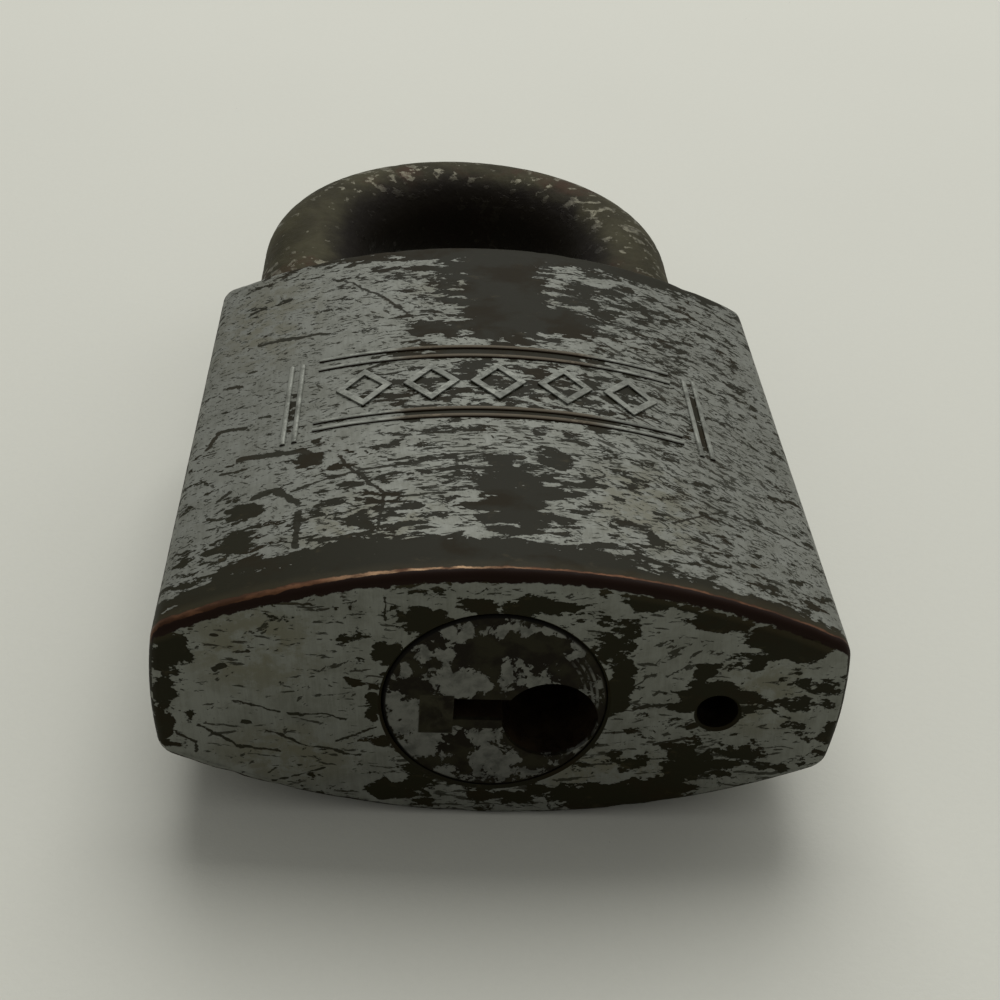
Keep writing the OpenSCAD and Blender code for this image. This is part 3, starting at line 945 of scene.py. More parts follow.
FRONT_SPOTS = spots(
    (-1.0, 9.5, 13.0, 10.5, 0.018), (0.4, 7.2, 2.6, 4.6, 0.22), (0.2, 12.3, 2.0, 1.3, 0.15),
    (3.4, 12.8, 1.5, 1.5, 0.15), (3.0, 9.6, 2.0, 1.7, 0.17), (-0.2, 10.2, 2.4, 1.2, 0.12),
    (-8.2, 7.8, 2.6, 1.8, 0.16), (-17.0, 9.8, 1.4, 1.6, 0.30), (-17.3, 6.7, 2.2, 1.6, 0.24),
    (-13.0, 14.4, 1.2, 1.6, 0.26), (-11.2, 0.6, 14.5, 4.6, 0.33), (1.5, 0.5, 9.5, 3.4, 0.36),
    (13.5, 0.2, 12.0, 1.8, 0.34), (3.0, 45.2, 24.0, 3.4, 0.36), (0.8, 34.4, 3.4, 8.0, 0.26),
    (-4.2, 30.6, 3.0, 1.4, 0.20), (5.4, 32.2, 3.6, 2.2, 0.25), (1.2, 40.5, 4.0, 4.5, 0.18),
    (12.5, 36.5, 8.0, 8.0, 0.060), (-4.5, 40.5, 5.5, 3.4, 0.07), (1.0, 36.0, 7.5, 9.0, 0.105),
    (0.0, 22.6, 12.5, 5.0, 0.085), (0.0, 26.95, 9.5, 1.0, 0.30), (0.0, 18.5, 9.5, 0.9, 0.30),
    (14.6, 21.8, 0.5, 5.2, 0.22), (-14.6, 21.0, 0.5, 4.2, 0.22), (-16.5, 28.0, 10.5, 17.0, -0.115),
    (16.0, 14.0, 8.5, 14.0, -0.045), (16.0, 32.0, 7.5, 10.0, -0.022), (-17.5, 11.0, 6.0, 6.0, -0.050),
    (-8.5, 16.0, 4.0, 2.0, -0.06),
)
FRONT_STROKES = strokes(
    (0.34, (-17.8, 32.7), (-12.5, 31.7)), (0.22, (-11.6, 40.1), (-8.8, 36.4), (-6.0, 32.8)),
    (0.40, (-20.4, 19.5), (-19.9, 21.1), (-17.8, 20.7)),
    (0.62, (-17.9, 16.5), (-14.8, 15.9), (-13.6, 15.7), (-12.4, 13.8)),
    (0.26, (-11.0, 14.1), (-7.9, 8.9), (-8.1, 5.1)),
    (0.24, (-13.9, 11.0), (-9.8, 12.1), (-5.8, 12.4), (-1.7, 13.4)), (0.36, (-19.8, 27.3), (-18.8, 26.9)),
    (0.36, (-18.4, 28.5), (-17.9, 28.5)), (0.28, (-16.8, 21.6), (-16.1, 21.4)),
    (0.24, (-19.2, 15.3), (-17.4, 15.0)), (0.30, (-18.9, 12.1), (-18.2, 12.7)),
    (0.32, (-19.4, 10.2), (-18.4, 9.7)), (0.60, (-16.4, 11.2), (-15.1, 11.6), (-13.5, 9.5)),
    (0.50, (-13.4, 8.2), (-13.3, 4.6)), (0.20, (-7.4, 8.6), (-4.0, 8.6)), (0.16, (10.1, 12.2), (17.8, 9.3)),
    (0.16, (13.5, 10.8), (20.7, 9.7)), (0.18, (17.4, 32.2), (18.4, 30.6)), (0.14, (10.9, 7.6), (15.3, 10.9)),
    (0.14, (15.8, 4.1), (17.9, 4.0)),
)
FRONT_HATCHES = (
    Hatch(-34, (0.55, 2.6), 0.640, Spot(13.5, 22.0, 9.5, 26.0, 0.085), 33.0),
    Hatch(-20, (0.70, 3.6), 0.660, Spot(15.5, 14.0, 8.5, 17.0, 0.085), 47.0),
    Hatch(28, (0.60, 2.8), 0.665, Spot(11.0, 34.0, 9.0, 9.0, 0.075), 61.0),
    Hatch(4, (0.80, 4.2), 0.600, Spot(0.5, 12.5, 10.0, 5.0, 0.065), 72.0),
    Hatch(-50, (0.9, 2.2), 0.655, Spot(-5.0, 36.0, 9.0, 8.0, 0.065), 84.0),
)
FRONT_YELLOW = spots(
    (-17.5, 36.0, 5.0, 9.0, 0.7), (-9.0, 6.0, 6.0, 4.0, 0.6), (9.5, 9.0, 5.0, 6.0, 0.7),
    (0.0, 37.0, 8.0, 4.0, 0.5),
)
PLUG_SPOTS = spots(
    (-6.35, -0.9, 1.3, 2.6, -0.20), (-5.0, -4.3, 2.5, 1.6, -0.20), (-1.3, -3.1, 1.2, 0.9, -0.20),
    (-0.4, -4.9, 2.2, 1.4, -0.17), (-2.2, 1.5, 1.9, 1.7, -0.18), (0.15, 1.9, 0.55, 1.9, -0.22),
    (1.2, 2.3, 0.9, 1.3, -0.12), (-5.0, 3.7, 0.9, 0.9, -0.18), (-3.7, 3.6, 0.8, 1.1, -0.18),
    (-4.5, 1.5, 0.9, 1.1, -0.12), (-6.2, 2.3, 0.5, 0.9, -0.18), (-2.6, 5.5, 1.8, 1.0, -0.17),
    (1.4, 5.7, 3.4, 0.7, -0.14), (4.2, 3.9, 0.9, 1.0, -0.14), (0.8, -6.4, 4.6, 0.9, -0.10),
    (-1.6, 3.7, 2.0, 1.3, 0.20), (2.4, 4.3, 2.2, 1.2, 0.24), (4.2, 2.3, 2.4, 1.6, 0.14),
    (-6.5, 3.4, 1.0, 1.2, 0.14), (-5.9, 0.9, 1.6, 0.7, 0.14), (-2.35, -4.1, 0.6, 1.6, 0.26),
    (-1.2, -2.05, 2.6, 0.42, 0.30), (2.6, -3.9, 1.8, 1.4, 0.08),
)
END_SPOTS = spots(
    (-20.6, 3.4, 1.6, 2.2, 0.30), (-21.4, -0.5, 1.0, 3.4, 0.22), (-4.9, 6.3, 2.2, 1.4, 0.26),
    (0.6, 7.6, 4.4, 0.9, 0.26), (-7.4, 3.7, 1.3, 1.2, 0.26), (-9.4, 1.4, 1.0, 0.6, 0.22),
    (-8.2, -0.4, 0.8, 1.8, 0.22), (6.4, 4.9, 1.9, 1.5, 0.24), (7.5, 1.6, 1.1, 2.8, 0.22),
    (8.4, 8.1, 1.7, 0.7, 0.30), (13.0, 6.8, 2.6, 0.9, 0.26), (17.6, 5.3, 3.4, 1.9, 0.32),
    (12.7, 2.9, 0.9, 0.8, 0.28), (13.6, 0.9, 2.4, 1.5, 0.30), (11.6, -0.2, 1.3, 0.6, 0.20),
    (16.6, 0.0, 1.5, 1.6, 0.14), (20.4, 0.7, 1.8, 1.4, 0.13), (21.6, -2.0, 1.0, 1.4, 0.24),
    (13.5, -4.9, 5.2, 2.0, 0.17), (9.5, -7.8, 5.0, 1.8, 0.24), (4.0, -8.4, 7.0, 1.5, 0.15),
    (-6.0, -8.0, 3.4, 1.2, 0.18), (-4.0, -6.3, 2.6, 1.6, 0.12), (-14.5, 0.0, 7.5, 8.0, -0.14),
    (10.8, 4.4, 3.6, 2.6, -0.06),
)
END_STROKES = strokes(
    (0.16, (-16.9, -0.5), (-14.1, -1.3)), (0.16, (-13.4, -1.4), (-11.2, -1.4), (-9.8, -1.8)),
    (0.18, (-19.1, -2.5), (-16.8, -4.2), (-14.3, -4.9)), (0.14, (-14.9, -3.0), (-11.8, -4.2), (-9.0, -5.0)),
    (0.14, (-10.4, -3.7), (-8.0, -2.6)), (0.12, (-14.7, -7.5), (-11.2, -6.1)),
    (0.20, (-20.6, -3.2), (-19.3, -4.0), (-19.4, -4.9)), (0.16, (-16.7, 3.4), (-16.0, 3.5)),
    (0.34, (-18.1, 2.0), (-17.3, 2.6)), (0.16, (-13.9, 7.5), (-12.1, 7.3)), (0.12, (-7.6, 8.1), (-7.4, 6.4)),
    (0.30, (-17.95, 4.9), (-17.85, 4.9)), (0.34, (-16.3, -2.2), (-16.0, -2.2)),
    (0.20, (10.3, -3.4), (12.1, -2.9)), (0.22, (8.6, -0.3), (11.0, 0.1)),
)
END_HATCHES = (
    Hatch(8, (0.60, 2.4), 0.640, Spot(11.5, -5.5, 9.5, 4.5, 0.10), 27.0),
    Hatch(-6, (0.50, 2.6), 0.640, Spot(-1.0, -8.2, 9.0, 2.4, 0.10), 29.0),
    Hatch(35, (0.9, 1.8), 0.650, Spot(9.5, 3.0, 4.5, 6.0, 0.07), 37.0),
)
END_YELLOW = spots(
    (-15.5, 4.0, 5.0, 4.5, 0.9), (-13.5, -5.0, 5.5, 3.0, 0.9), (16.5, 1.0, 4.0, 4.0, 0.8),
    (8.0, -6.5, 6.0, 3.0, 0.9),
)
SHACKLE_END_SPOTS = spots(
    (-13.1, 0.0, 7.4, 7.4, 0.10), (15.1, 0.0, 7.4, 7.4, 0.10), (1.0, 8.6, 20.0, 2.2, 0.14),
    (0.0, -2.0, 6.0, 4.0, -0.05),
)
BACK_SPOTS = spots(
    (3.0, 20.0, 9.0, 8.0, 0.10), (-9.0, 33.0, 8.0, 6.0, 0.09), (0.0, 0.6, 23.0, 3.4, 0.33),
    (0.0, 45.0, 24.0, 3.4, 0.33), (14.0, 12.0, 7.0, 12.0, -0.06), (-15.0, 14.0, 7.0, 12.0, -0.05),
)
BACK_STROKES = strokes(
    (0.22, (-16.0, 12.0), (-9.0, 15.5), (-3.0, 16.4)), (0.18, (4.0, 30.0), (12.5, 35.0)),
    (0.30, (9.0, 8.0), (12.0, 7.2)), (0.16, (-12.0, 36.5), (-2.0, 38.5)),
)


@dataclass(frozen=True)
class RaisedLines:
    """The frame of raised double lines on the front, and the plain lozenges in it, in millimetres."""

    width: float = 0.40
    height: float = 0.15
    sunk: float = 0.20
    cross_y: tuple[float, ...] = (27.6, 26.3, 18.95, 18.0)
    cross_half: float = 13.0
    side_x: tuple[float, ...] = (14.2, 15.0)
    side_y: tuple[float, float] = (16.9, 27.5)
    lozenges: int = 5
    lozenge_pitch: float = 4.8
    lozenge_half: tuple[float, float] = (2.0, 2.5)
    lozenge_y: float = 22.63

    def profile(self, bm: bmesh.types.BMesh, across: Vector, up: Vector, start: Vector) -> bmesh.types.BMFace:
        """A low rounded hump, as one face across the line's start.

        Args:
            bm: the mesh that it goes into.
            across: unit vector across the line.
            up: unit vector out of the face.
            start: the line's first point on the face.

        Returns:
            The face.
        """
        half, top = self.width / 2 * MM, self.height * MM
        shape = ((-1.0, -self.sunk * MM), (-1.0, 0.25 * top), (-0.72, 0.78 * top), (-0.3, top),
                 (0.3, top), (0.72, 0.78 * top), (1.0, 0.25 * top), (1.0, -self.sunk * MM))
        return bm.faces.new([bm.verts.new(start + across * (u * half) + up * v) for u, v in shape])

    def cross_line(self, bm: bmesh.types.BMesh, datum: Datum, section: Section, y: float) -> None:
        """A line across the face, spun about the crown's own axis."""
        centre = datum.at(0, y, section.crown_centre / MM)
        lean = math.asin(self.cross_half * MM / section.crown_radius)
        out = Vector((-math.sin(lean), 0, math.cos(lean)))
        face = self.profile(bm, Vector((0, 1, 0)), out, centre + out * section.crown_radius)
        bmesh.ops.spin(bm, geom=[face, *face.edges, *face.verts], cent=centre, axis=(0, 1, 0), angle=2 * lean,
                       steps=60)

    def side_line(self, bm: bmesh.types.BMesh, datum: Datum, section: Section, x: float) -> None:
        """A line along the face, pushed out from its profile."""
        lean = math.asin(x * MM / section.crown_radius)
        out = Vector((math.sin(lean), 0, math.cos(lean)))
        start = datum.at(x, self.side_y[0], section.crown_at(x * MM) / MM)
        face = self.profile(bm, Vector((math.cos(lean), 0, -math.sin(lean))), out, start)
        pushed = bmesh.ops.extrude_face_region(bm, geom=[face], use_keep_orig=True)
        verts = [v for v in pushed["geom"] if isinstance(v, bmesh.types.BMVert)]
        bmesh.ops.translate(bm, verts=verts, vec=(0, (self.side_y[1] - self.side_y[0]) * MM, 0))

    def lozenge(self, bm: bmesh.types.BMesh, datum: Datum, section: Section, x: float) -> None:
        """A four-sided outline, made flat in a mesh of its own and then laid on the crown."""
        flat = bmesh.new()
        bmesh.ops.create_circle(flat, cap_ends=True, segments=4, radius=1.0)
        wide, tall = self.lozenge_half
        bmesh.ops.scale(flat, verts=flat.verts[:], vec=(wide * MM, tall * MM, 1))
        middle = flat.faces[:]
        bmesh.ops.inset_region(flat, faces=middle, thickness=self.width * 1.25 * MM,
                               use_even_offset=True, use_boundary=True)
        bmesh.ops.delete(flat, geom=middle, context="FACES_ONLY")
        bmesh.ops.subdivide_edges(flat, edges=flat.edges[:], cuts=5, use_grid_fill=True)
        pushed = bmesh.ops.extrude_face_region(flat, geom=flat.faces[:], use_keep_orig=True)
        top = [v for v in pushed["geom"] if isinstance(v, bmesh.types.BMVert)]
        bmesh.ops.translate(flat, verts=top, vec=(0, 0, (self.height + self.sunk) * MM))
        bmesh.ops.translate(flat, verts=flat.verts[:], vec=datum.at(x, self.lozenge_y, -self.sunk))
        for v in flat.verts:
            v.co.z += section.crown_at(v.co.x)
        outline = bpy.data.meshes.new("lozenge")
        flat.to_mesh(outline)
        flat.free()
        bm.from_mesh(outline)
        bpy.data.meshes.remove(outline)

    def build(self, datum: Datum, section: Section) -> bpy.types.Object:
        """Makes all the raised lines as one object.

        Args:
            datum: places of the frame.
            section: the case's section.

        Returns:
            The lines, as closed shells that run a little into the case.
        """
        bm = bmesh.new()
        for i in range(self.lozenges):
            self.lozenge(bm, datum, section, (i - (self.lozenges - 1) / 2) * self.lozenge_pitch)
        for y in self.cross_y:
            self.cross_line(bm, datum, section, y)
        for x in self.side_x:
            self.side_line(bm, datum, section, x)
            self.side_line(bm, datum, section, -x)
        return new_piece("raised_lines", bm)


@dataclass
class Case:
    """The solid case: its crowned block, its worn edges, its raised lines and all of its bores."""

    datum: Datum
    edge_wear: float = 0.62 * MM
    far_edge_wear: float = 0.20 * MM
    ripple: float = 0.018 * MM
    nick: float = 0.16 * MM
    rim: float = 0.22 * MM
    over: float = 1 * MM
    fit: float = 0.05 * MM
    driven_fit: float = 0.02 * MM
    leg_clear: float = 0.12 * MM
    leg_room: float = 1.5 * MM
    toe_bore_depth: float = 12.95 * MM
    cam_clear: float = 0.45 * MM
    drain_radius: float = 1.36 * MM
    drain_depth: float = 7 * MM
    drain_from_leg: tuple[float, float] = (0.93 * MM, -0.62 * MM)
    lines: RaisedLines = field(default_factory=RaisedLines)
    # The bores' walls: tarnished bronze, made very dark as painted shade inside the holes.
    bored: TurnedMetal = TurnedMetal((0.050, 0.038, 0.022), (0.020, 0.015, 0.009), (0.008, 0.006, 0.004), 0.5)
    front_steps: int = 72
    side_steps: int = 14
    corner_steps: int = 10
    along_steps: int = 84

    @property
    def section(self) -> Section:
        """The case's section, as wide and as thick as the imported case."""
        return Section(self.datum.half_width, self.datum.mid_z)

    def outline(self, bm: bmesh.types.BMesh) -> None:
        """Spins one point round eight arcs, to give the section's outline at the keyhole end."""
        s = self.section
        corner_x, corner_z = s.corner()
        face_angle = math.atan2(corner_z - s.crown_centre, corner_x)
        side_angle = math.atan2(corner_z, corner_x - s.side_centre)
        turn = face_angle - side_angle
        arcs = (
            (s.side_centre, 0.0, 2 * side_angle, self.side_steps),
            (corner_x, corner_z, turn, self.corner_steps),
            (0.0, s.crown_centre, math.pi - 2 * face_angle, self.front_steps),
            (-corner_x, corner_z, turn, self.corner_steps),
            (-s.side_centre, 0.0, 2 * side_angle, self.side_steps),
            (-corner_x, -corner_z, turn, self.corner_steps),
            (0.0, -s.crown_centre, math.pi - 2 * face_angle, self.front_steps),
            (corner_x, -corner_z, turn, self.corner_steps),
        )
        first = self.datum.at(0, 0, 0) + Vector((
            s.side_centre + s.side_radius * math.cos(side_angle), 0, -s.side_radius * math.sin(side_angle)))
        tip = bm.verts.new(first)
        for x, z, angle, steps in arcs:
            centre = self.datum.at(0, 0, 0) + Vector((x, 0, z))
            spun = bmesh.ops.spin(bm, geom=[tip], cent=centre, axis=(0, -1, 0), angle=angle, steps=steps)
            tip = next(v for v in spun["geom_last"] if isinstance(v, bmesh.types.BMVert))
        bmesh.ops.remove_doubles(bm, verts=bm.verts[:], dist=0.005 * MM)

    def block(self) -> bpy.types.Object:
        """The crowned block with worn ends, before any hole is cut.

        Returns:
            The block as an object.
        """
        bm = bmesh.new()
        self.outline(bm)
        bmesh.ops.contextual_create(bm, geom=bm.edges[:])
        pushed = bmesh.ops.extrude_face_region(bm, geom=bm.faces[:], use_keep_orig=True)
        far = [v for v in pushed["geom"] if isinstance(v, bmesh.types.BMVert)]
        bmesh.ops.translate(bm, verts=far, vec=(0, self.datum.length, 0))
        ends = ((self.datum.keyhole_y, self.edge_wear, 5), (self.datum.shackle_y, self.far_edge_wear, 3))
        for end_y, wear, rows in ends:
            rims = [e for e in bm.edges if all(abs(v.co.y - end_y) < 0.01 * MM for v in e.verts)]
            bmesh.ops.bevel(bm, geom=rims, offset=wear, segments=rows, profile=0.5, affect="EDGES", material=-1)
        longs = [e for e in bm.edges if abs(e.verts[0].co.y - e.verts[1].co.y) > self.datum.length / 2]
        bmesh.ops.subdivide_edges(bm, edges=longs, cuts=self.along_steps, use_grid_fill=True)
        bmesh.ops.recalc_face_normals(bm, faces=bm.faces[:])
        set_back(bm.verts, self.worn_depth)
        return new_piece("case_body", bm)

    def worn_depth(self, place: Vector) -> float:
        """How far wear has taken the skin back at a place: a slow ripple, and nicks near the ends."""
        ripple = self.ripple * (noise.noise(place * 140) + 0.5 * noise.noise(place * 420))
        to_end = min(place.y - self.datum.keyhole_y, self.datum.shackle_y - place.y)
        edge = max(0.0, 1 - to_end / (1.6 * MM))
        nicks = max(0.0, noise.noise(place * 700) - 0.18) + 0.35 * max(0.0, noise.noise(place * 260))
        return ripple * (1 - edge) + 0.02 * MM + self.nick * edge * nicks

    def bore(self, name: str, start: Vector, along: Along, length: float, radius: float) -> bpy.types.Object:
        """A cutting tool for one straight hole."""
        bm = bmesh.new()
        round_tool(bm, start, along, length, radius)
        return new_piece(name, bm)

    def flared_bore(self, name: str, mouth: Vector, inwards: int, depth: float,
                    radius: float) -> bpy.types.Object:
        """A cutting tool for a hole from one end of the case, with a worn mouth.

        Args:
            name: the tool's name.
            mouth: the middle of the hole's mouth, on the end face.
            inwards: 1 from the keyhole end and -1 from the shackle end.
            depth: how deep the hole goes.
            radius: the hole's radius.

        Returns:
            The tool.
        """
        bm = bmesh.new()
        place = Matrix.Translation(mouth + Vector((0, inwards * depth, 0))) @ Along.Y.value
        bmesh.ops.create_circle(bm, cap_ends=True, segments=96, radius=radius, matrix=place)
        tip = bm.faces[:][0]
        wide = 1 + self.rim / radius
        for length, grow in ((depth - self.rim, 1.0), (self.rim, wide), (self.over, 1.0)):
            tip = push(bm, tip, Vector((0, -inwards * length, 0)), grow)
        return new_piece(name, bm)

    def round_holes(self) -> list[bpy.types.Object]:
        """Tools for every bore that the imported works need, placed from their own boxes.

        Returns:
            The cutting tools.
        """
        d, plug, cam = self.datum, Box.of("plug"), Box.of("tail_cam")
        tools = [
            self.flared_bore("plug_bore", Vector((plug.mid.x, d.keyhole_y, plug.mid.z)), 1,
                             plug.high.y - d.keyhole_y + 0.2 * MM, plug.half_x + self.fit),
            self.bore("cam_bore", Vector((plug.mid.x, plug.high.y - self.over, plug.mid.z)), Along.Y,
                      cam.high.y - plug.high.y + self.over + 0.5 * MM, cam.half_z + self.cam_clear),
        ]
        tools += self.leg_bores()
        right, up = self.drain_from_leg
        drain = Vector((self.leg_x(1) + right, d.keyhole_y, d.mid_z + up))
        tools.append(self.flared_bore("drain", drain, 1, self.drain_depth, self.drain_radius))
        tools += self.cross_bores(plug.mid)
        return tools

    def leg_x(self, side: int) -> float:
        """Sideways place of a shackle leg: -1 for the short leg and 1 for the long one."""
        rod = Box.of("shackle")
        return rod.high.x - rod.half_z if side > 0 else rod.low.x + rod.half_z

    def leg_bores(self) -> list[bpy.types.Object]:
        """Tools for the two bores that hold the shackle's legs."""
        d, rod = self.datum, Box.of("shackle")
        radius = rod.half_z + self.leg_clear
        bottoms = {1: rod.low.y - self.leg_room, -1: d.shackle_y - self.toe_bore_depth}
        tools = []
        for side, bottom in bottoms.items():
            mouth = Vector((self.leg_x(side), d.shackle_y, d.mid_z))
            tools.append(self.flared_bore(f"leg_bore_{side}", mouth, -1, d.shackle_y - bottom, radius))
        return tools

    def cross_bores(self, plug_mid: Vector) -> list[bpy.types.Object]:
        """Tools for the bolts' cross bore, the pin chambers and the two retaining pins' holes."""
        out_x = -self.datum.half_width - self.over
        sideways = [("cross_bore", "toe_bolt", self.leg_x(1))]
        sideways += [(f"chamber_{i}", f"driver_pin_{i}", plug_mid.x) for i in range(1, PIN_STACKS + 1)]
        tools = []
        for name, node, end_x in sideways:
            box = Box.of(node)
            tools.append(self.bore(name, Vector((out_x, box.mid.y, box.mid.z)), Along.X, end_x - out_x,
                                   box.half_y + self.fit))
        for name in ("plug_retaining_pin", "shackle_retaining_pin"):
            pin = Box.of(name)
            tools.append(self.bore(f"{name}_hole", Vector((pin.mid.x, pin.mid.y, pin.low.z - 3 * MM)), Along.Z,
                                   pin.high.z - pin.low.z + 3.3 * MM, pin.half_x + self.driven_fit))
        return tools

    def dress(self, piece: bpy.types.Object) -> None:
        """Gives each side of the case its own layout of wear.

        Args:
            piece: the finished case.
        """
        s, d = self.section, self.datum
        finishes = (
            WornPlating(spots=FRONT_SPOTS, strokes=FRONT_STROKES, hatches=FRONT_HATCHES,
                        yellow_spots=FRONT_YELLOW),
            WornPlating(face=Face.BACK, spots=BACK_SPOTS, strokes=BACK_STROKES, yellow_spots=FRONT_YELLOW),
            WornPlating(face=Face.KEYHOLE_END, worn=-0.02, pitting=0.70, spots=END_SPOTS, strokes=END_STROKES,
                        hatches=END_HATCHES, yellow_spots=END_YELLOW, flake_grain=(0.45, 0.7, 0.5)),
            WornPlating(face=Face.SHACKLE_END, worn=0.01, pitting=0.69, spots=SHACKLE_END_SPOTS,
                        flake_grain=(0.34, 0.45, 0.42)),
        )
        for finish in finishes:
            piece.data.materials.append(finish.build(f"case_{finish.face.name.lower()}", d, s))
        piece.data.materials.append(self.bored.build("case_bored", d))
        for polygon in piece.data.polygons:
            n = polygon.normal
            # Walls deep in the block get the bore finish, darkened as painted shade.
            if self.in_bore(polygon.center):
                polygon.material_index = len(finishes)
            elif abs(n.y) > 0.8:
                polygon.material_index = 2 if n.y < 0 else 3
            else:
                polygon.material_index = 1 if n.z < -0.1 else 0

    def in_bore(self, place: Vector) -> bool:
        """Whether a place lies well inside the block, so on the wall of a bore."""
        s, d = self.section, self.datum
        return (abs(place.x) < d.half_width - 1.2 * MM
                and abs(place.z - d.mid_z) < s.crown_at(place.x) - 0.5 * MM
                and d.keyhole_y + 0.3 * MM < place.y < d.shackle_y - 0.3 * MM)

    def build(self) -> bpy.types.Object:
        """Makes the whole case.

        Returns:
            The case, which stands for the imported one.
        """
        piece = self.block()
        combine(piece, [self.lines.build(self.datum, self.section)], "UNION")
        combine(piece, self.round_holes(), "DIFFERENCE")
        tidy_shading(piece, 32)
        self.dress(piece)
        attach(piece, "case")
        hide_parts("case")
        return piece


# ---- The shackle ----


@dataclass
class Shackle:
    """The bent rod with its locking notches, its flat and its swing groove."""

    datum: Datum
    segments: int = 88
    pit: float = 0.10 * MM
    notch_depth: float = 1.8 * MM
    notch_half: float = 2.9 * MM
    notch_slope: float = 0.55 * MM
    flat_slope: float = 0.02 * MM
    groove_width: float = 3 * MM
    chamfer: float = 0.8 * MM
    toe_length: float = 11.95 * MM
    lift: float = 12.3 * MM
    running_gap: float = 0.1 * MM
    step: float = 0.42 * MM

    def rod(self) -> bpy.types.Object:
        """The plain bent rod, pitted all over.

        Returns:
            The rod as an object.
        """
        box = Box.of("shackle")
        low, high, radius = box.low, box.high, box.half_z
        toe = Vector((low.x + radius, self.datum.shackle_y - self.toe_length, self.datum.mid_z))
        heel_x = high.x - radius
        half_gap = (heel_x - toe.x) / 2
        bow_y = high.y - radius - half_gap
        bm = bmesh.new()
        flat = radius - self.chamfer
        disc = bmesh.ops.create_circle(bm, cap_ends=True, segments=self.segments, radius=flat,
                                       matrix=Matrix.Translation(toe) @ Along.Y.value)["verts"]
        tip = push(bm, disc[0].link_faces[0], Vector((0, self.chamfer, 0)), radius / flat)
        tip = self.straight(bm, tip, bow_y - toe.y - self.chamfer)
        steps = int(math.pi * half_gap / self.step)
        centre = Vector((toe.x + half_gap, bow_y, toe.z))
        spun = bmesh.ops.spin(bm, geom=[tip, *tip.edges, *tip.verts], cent=centre, axis=(0, 0, -1),
                              angle=math.pi, steps=steps)
        last = next(f for f in spun["geom_last"] if isinstance(f, bmesh.types.BMFace))
        last = self.straight(bm, last, low.y + self.chamfer - bow_y)
        push(bm, last, Vector((0, -self.chamfer, 0)), flat / radius)
        caps = [f for f in bm.faces if len(f.verts) > 4]
        inside = [f for f in caps if low.y + radius < f.calc_center_median().y < bow_y + 1 * MM
                  and abs(f.calc_center_median().y - toe.y) > 0.1 * MM]
        bmesh.ops.delete(bm, geom=inside, context="FACES_ONLY")
        bmesh.ops.recalc_face_normals(bm, faces=bm.faces[:])
        set_back(bm.verts, self.pit_depth)
        return new_piece("shackle_rod", bm)

    def straight(self, bm: bmesh.types.BMesh, face: bmesh.types.BMFace, distance: float) -> bmesh.types.BMFace:
        """Pushes an end face along Y in short steps, towards the keyhole end if the distance is negative."""
        steps = int(abs(distance) / self.step)
        for _ in range(steps):
            face = push(bm, face, Vector((0, distance / steps, 0)))
        return face

    def pit_depth(self, place: Vector) -> float:
        """How deep rust has eaten at a place: broad shallow loss and small pits."""
        broad = 0.3 * noise.noise(place * 190) + 0.2 * noise.noise(place * 460)
        small = max(0.0, noise.noise(place * 1150 + Vector((3, 1, 2))) - 0.12)
        return self.pit * (0.25 + 0.35 * broad + 0.9 * small)

    def cuts(self) -> list[bpy.types.Object]:
        """Tools for the two notches, the flat and the groove of the long leg.

        Returns:
            The cutting tools.
        """
        rod, bolt, pin = (Box.of(node) for node in ("shackle", "toe_bolt", "shackle_retaining_pin"))
        radius, gap = rod.half_z, self.running_gap
        bolt_y = (bolt.low.y + bolt.high.y) / 2
        flat = (pin.low.y - gap - self.lift, max(bolt.high.y + gap - self.lift, pin.high.y) + gap)
        notch = (bolt_y - self.notch_half, bolt_y + self.notch_half)
        heel_x, toe_x = rod.high.x - radius, rod.low.x + radius
        floor = radius - self.notch_depth
        return [
            self.slot_tool("toe_notch", toe_x + floor, 1, *notch, self.notch_slope),
            self.slot_tool("heel_notch", heel_x - floor, -1, *notch, self.notch_slope),
            self.slot_tool("heel_flat", heel_x - floor, -1, *flat, self.flat_slope),
            ring_tool("swing_groove", Vector((heel_x, flat[0] + self.groove_width / 2, self.datum.mid_z)), floor,
                      radius + 1 * MM, self.groove_width),
        ]

    def slot_tool(self, name: str, floor_x: float, side: int, y0: float, y1: float,
                  slope: float) -> bpy.types.Object:
        """A block that cuts one side of a leg down to a flat floor with sloped ends.

        Args:
            name: the tool's name.
            floor_x: sideways place of the floor.
            side: 1 if the block lies to the right of the floor, or -1.
            y0: the floor's end nearest the keyhole.
            y1: the floor's other end.
            slope: how far each end leans out over the notch's depth.

        Returns:
            The tool.
        """
        bm = bmesh.new()
        reach = self.notch_depth + 1 * MM
        middle = Vector((floor_x + side * reach / 2, (y0 + y1) / 2, self.datum.mid_z))
        size = Matrix.Diagonal((reach, y1 - y0, 12 * MM, 1))
        bmesh.ops.create_cube(bm, size=1.0, matrix=Matrix.Translation(middle) @ size)
        outer = [v for v in bm.verts if side * (v.co.x - middle.x) > 0]
        for v in outer:
            v.co.y += math.copysign(slope * reach / self.notch_depth, v.co.y - middle.y)
        return new_piece(name, bm)

    def build(self) -> bpy.types.Object:
        """Makes the whole shackle.

        Returns:
            The shackle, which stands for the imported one.
        """
        piece = self.rod()
        combine(piece, self.cuts(), "DIFFERENCE")
        tidy_shading(piece, 40)
        box = Box.of("shackle")
        low, high, radius = box.low, box.high, box.half_z
        reach = box.half_x - radius
        bow = Vector((low.x + high.x, 2 * (high.y - radius - reach - self.datum.keyhole_y), 0)) / (2 * MM)
        piece.data.materials.append(RustedSteel().build("shackle_rust", self.datum, bow, reach / MM))
        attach(piece, "shackle")
        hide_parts("shackle")
        return piece


# ---- The plug ----


